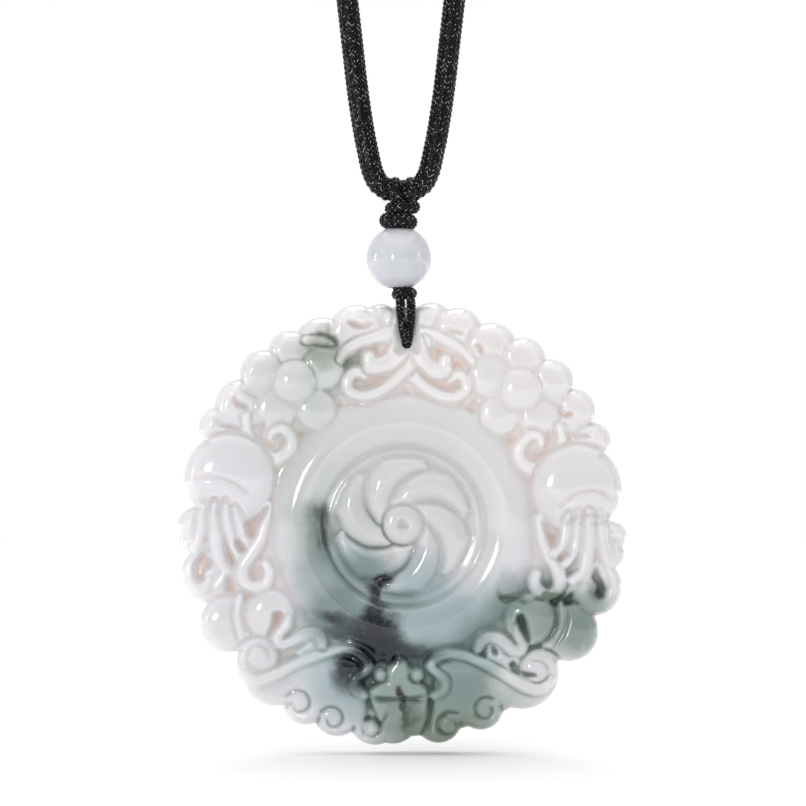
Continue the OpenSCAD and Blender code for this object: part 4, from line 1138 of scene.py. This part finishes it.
def drill_hole(made):
    """Cut the hole for the cord through the disc."""
    bpy.ops.mesh.primitive_cylinder_add(
        vertices=64, radius=EYE_R * MM, depth=20 * MM,
        location=(HOLE_X * MM, 0, EYE_Z * MM), rotation=(math.pi / 2, 0, 0))
    drill = bpy.context.active_object
    drill.data.materials.append(JADE)
    bore = made.modifiers.new("hole", "BOOLEAN")
    bore.object = drill
    bore.operation = "DIFFERENCE"
    bore.solver = "EXACT"
    deps = bpy.context.evaluated_depsgraph_get()
    drilled = bpy.data.meshes.new_from_object(made.evaluated_get(deps), depsgraph=deps)
    made.modifiers.clear()
    made.data = drilled
    bpy.data.objects.remove(drill)


# How much the finished carving is softened
SOFTENED = 0.55
# Attributes that say how far a point of the front lies under its surroundings, and how wide these
# are; the jade's painted light and shade in pits and creases follows them
UNDER = [("hollow", 5.5), ("crease", 1.7)]


def carved_disc():
    carve()
    field = blur(relief, SOFTENED)
    # Level way of the strands from the hole up to the rim
    beside = np.clip(np.abs(GX - (HOLE_X - DISC_X) / SHARE) - REST_HALF, 0, 20)
    below = np.clip(REST_END - GZ, 0, 20)
    rest = REST_HIGH + 0.5 * (np.hypot(beside, below) / REST_EDGE) ** 1.5
    field = np.minimum(field, rest)
    places, faces = disc_mesh(field)
    made = plain_mesh("jade_disc", places, faces, JADE)
    drill_hole(made)
    mesh = made.data
    for face in mesh.polygons:
        face.use_smooth = face.normal.y < 0.999 or face.center.y < (BACK_Y - 0.01) * MM
    co = np.zeros(len(mesh.vertices) * 3)
    mesh.vertices.foreach_get("co", co)
    co = co.reshape(-1, 3) / MM
    for name, reach in UNDER:
        under = blur(field, reach) - field
        value = sample(under, (co[:, 0] - DISC_X) / SHARE, (co[:, 2] - DISC_Z) / SHARE)
        value = np.where(co[:, 1] < BACK_Y - MID, value, 0.0)
        mark = mesh.attributes.new(name, "FLOAT", "POINT")
        mark.data.foreach_set("value", value.astype(np.float32))
    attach(made, "drop")
    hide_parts("carved_disc")


# Bead

def bead():
    """Ball with a bore and a rounded lip at each end."""
    low = math.asin((BEAD_BORE_R + BEAD_LIP) / BEAD_R)
    end = -BEAD_R * math.cos(low)
    outline = [(BEAD_BORE_R, end + 0.5)]
    outline += [(BEAD_BORE_R + BEAD_LIP * (1 - math.cos(a)), end + BEAD_LIP * (1 - math.sin(a)))
                for a in np.linspace(0, math.pi / 2, 5)]
    outline += [(BEAD_R * math.sin(a), -BEAD_R * math.cos(a))
                for a in np.linspace(low + 0.02, math.pi - low - 0.02, 44)]
    outline += [(r, -z) for r, z in outline[5::-1]]
    around, rows = 72, len(outline)
    places, faces = [], []
    for i, (r, z) in enumerate(outline):
        j = (i + 1) % rows
        for k in range(around):
            n = (k + 1) % around
            a = 2 * math.pi * k / around
            places.append(((BEAD_X + r * math.cos(a)) * MM, r * math.sin(a) * MM,
                           (BEAD_Z + z) * MM))
            faces.append((i * around + k, i * around + n, j * around + n, j * around + k))
    made = plain_mesh("bead", places, faces, BEAD_JADE)
    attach(made, "drop")
    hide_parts("jade_bead")


# Neck cord: braided stitches round the tube of the frame, which is the braid's core

def neck_cord():
    half = [(x, 0, z) for x, z in NECK_HALF]
    loop = curve_through([(-x, 0, z) for x, _, z in half[::-1]] + half, 1.5)
    made = braided("neck_braid", [loop])
    length = np.linalg.norm(np.diff(loop, axis=0), axis=1).sum() * MM
    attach(made, "neck_loop_cord")
    return made, loop, length


def nape_knot():
    """Slide knot: the thin cord wound round the neck cord's two ends."""
    coil = []
    for t in np.linspace(0, 1, 200):
        a = 2 * math.pi * NAPE_TURNS * t
        coil.append((NAPE_LENGTH * (t - 0.5), NAPE_R * math.cos(a),
                     NAPE_Z + NAPE_R * math.sin(a)))
    made = braided("nape_knot", [coil])
    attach(made, "neck_loop_cord")
    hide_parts("closure")
    return made


# Knot, strands and band

ROUND = np.linspace(0, 2 * math.pi, 48, endpoint=False)


def turn(x, across, deep, z, lean):
    """Points of a ring round the upright axis."""
    return [(x + across * math.cos(a), deep * math.sin(a), z + lean * math.cos(a))
            for a in ROUND]


def wrap_knot():
    """Knot above the bead: loops over the neck cord and turns below them."""
    loops = [[(x + tilt * math.sin(a), LOOP_DEEP * math.cos(a), LOOP_Z + LOOP_TALL * math.sin(a))
              for a in ROUND] for x, tilt in LOOPS]
    core = [(0, 0, KNOT_TOP), (0, 0, -236.5), (0, 0, KNOT_FOOT + 0.1)]
    upper = braided("wrap_loops", loops, True)
    parts = [braided("wrap_collar", [turn(*COLLAR_TURN)], True),
             braided("wrap_base", [turn(*BASE_TURN)], True), braided("wrap_core", [core]), upper]
    bpy.ops.object.select_all(action="DESELECT")
    for part in parts:
        part.select_set(True)
    bpy.context.view_layer.objects.active = upper
    bpy.ops.object.join()
    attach(upper, "drop")
    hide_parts("cord_wraps")


def strands():
    """Thin cord below the knot, side by side through bead and disc."""
    runs = []
    for side in (-1, 1):
        points = []
        for y, z in STRAND:
            middle = np.interp(z, *zip(*STRANDS_MIDDLE))
            # Behind the disc the strands run straight up side by side
            apart = np.interp(z, *zip(*STRANDS_APART)) if y <= 2 else STRANDS_APART[-1][1]
            points.append((middle + side * apart, y, z))
        runs.append(curve_through(points, 0.4))
    made = braided("strand_pair", runs)
    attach(made, "drop")
    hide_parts("hanging_cord")


def hitch():
    """Turn of cord round the four legs under the bead."""
    made = braided("hitch_turn", [turn(*HITCH_TURN)], True)
    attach(made, "drop")
    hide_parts("hitch_band")


carved_disc()
bead()
braid, centre_line, cord_length = neck_cord()
knot_at_nape = nape_knot()
wrap_knot()
strands()
hitch()


# Studio

FLOOR_Z = -0.3051
# Name, place, what it points at, width, height and watts
LAMPS = [
    ("soft_top", (0.0, -0.06, 0.55), (0, -0.03, -0.30), 1.2, 1.2, 4.4),
    ("soft_back", (-0.03, 0.42, 0.22), (0, 0, -0.29), 0.3, 0.3, 0.6),
    ("window_front", (-0.20, -0.50, -0.215), (0, 0, -0.25), 0.06, 0.08, 0.65),
    ("strip_left", (-0.60, 0.04, -0.24), (0, 0, -0.27), 0.05, 0.2, 0.6),
    ("strip_right", (0.6, -0.1, -0.2), (0, 0, -0.26), 0.14, 0.2, 0.2),
]


def pale_floor():
    """Floor just under the disc, with painted light: it glows faintly near the disc and fully
    further away, so that it fades into the white backdrop.
    """
    corners = [(-1.2, -1.2), (1.2, -1.2), (1.2, 0.5), (-1.2, 0.5)]
    made, shader, nodes = new_material("pale_floor")
    floor = plain_mesh("floor", [(x, y, FLOOR_Z) for x, y in corners], [(0, 1, 2, 3)], made)
    away = nodes.add("ShaderNodeVectorMath", {0: nodes.place()}, operation="LENGTH")
    # Painted light: the floor's glow rises from 0.11 near the disc to full strength beyond 0.62 m
    nodes.feed(shader, {
        "Base Color": (0.87, 0.87, 0.87, 1), "Roughness": 1.0, "Specular IOR Level": 0.0,
        "Emission Color": (1, 1, 1, 1),
        "Emission Strength": nodes.ramp(away.outputs["Value"], 0.36, 0.62, 0.11, 1.0)})


def light_all_round():
    """White backdrop, and light that is stronger from above and from behind."""
    world = bpy.data.worlds.new("studio")
    bpy.context.scene.world = world
    world.use_nodes = True
    nodes = Nodes(world.node_tree)
    way = nodes.add("ShaderNodeSeparateXYZ", {0: nodes.place("Generated")})
    overhead = nodes.ramp(way.outputs["Z"], 0.0, 0.8, 0.34, 0.7)
    backdrop = nodes.ramp(way.outputs["Y"], 0.2, 0.7, 0.0, 0.85)
    seen = nodes.add("ShaderNodeLightPath").outputs["Is Camera Ray"]
    strength = nodes.maths("MAXIMUM", nodes.maths("MAXIMUM", overhead, backdrop), seen)
    nodes.feed(world.node_tree.nodes["Background"], {
        "Color": (1, 1, 1, 1), "Strength": strength})


def soft_lamps():
    for name, place, target, wide, tall, power in LAMPS:
        data = bpy.data.lights.new(name, "AREA")
        data.shape = "RECTANGLE"
        data.size, data.size_y, data.energy = wide, tall, power
        lamp = in_scene(name, data)
        lamp.location = place
        way = Vector(target) - Vector(place)
        lamp.rotation_euler = way.to_track_quat("-Z", "Y").to_euler()


pale_floor()
light_all_round()
soft_lamps()
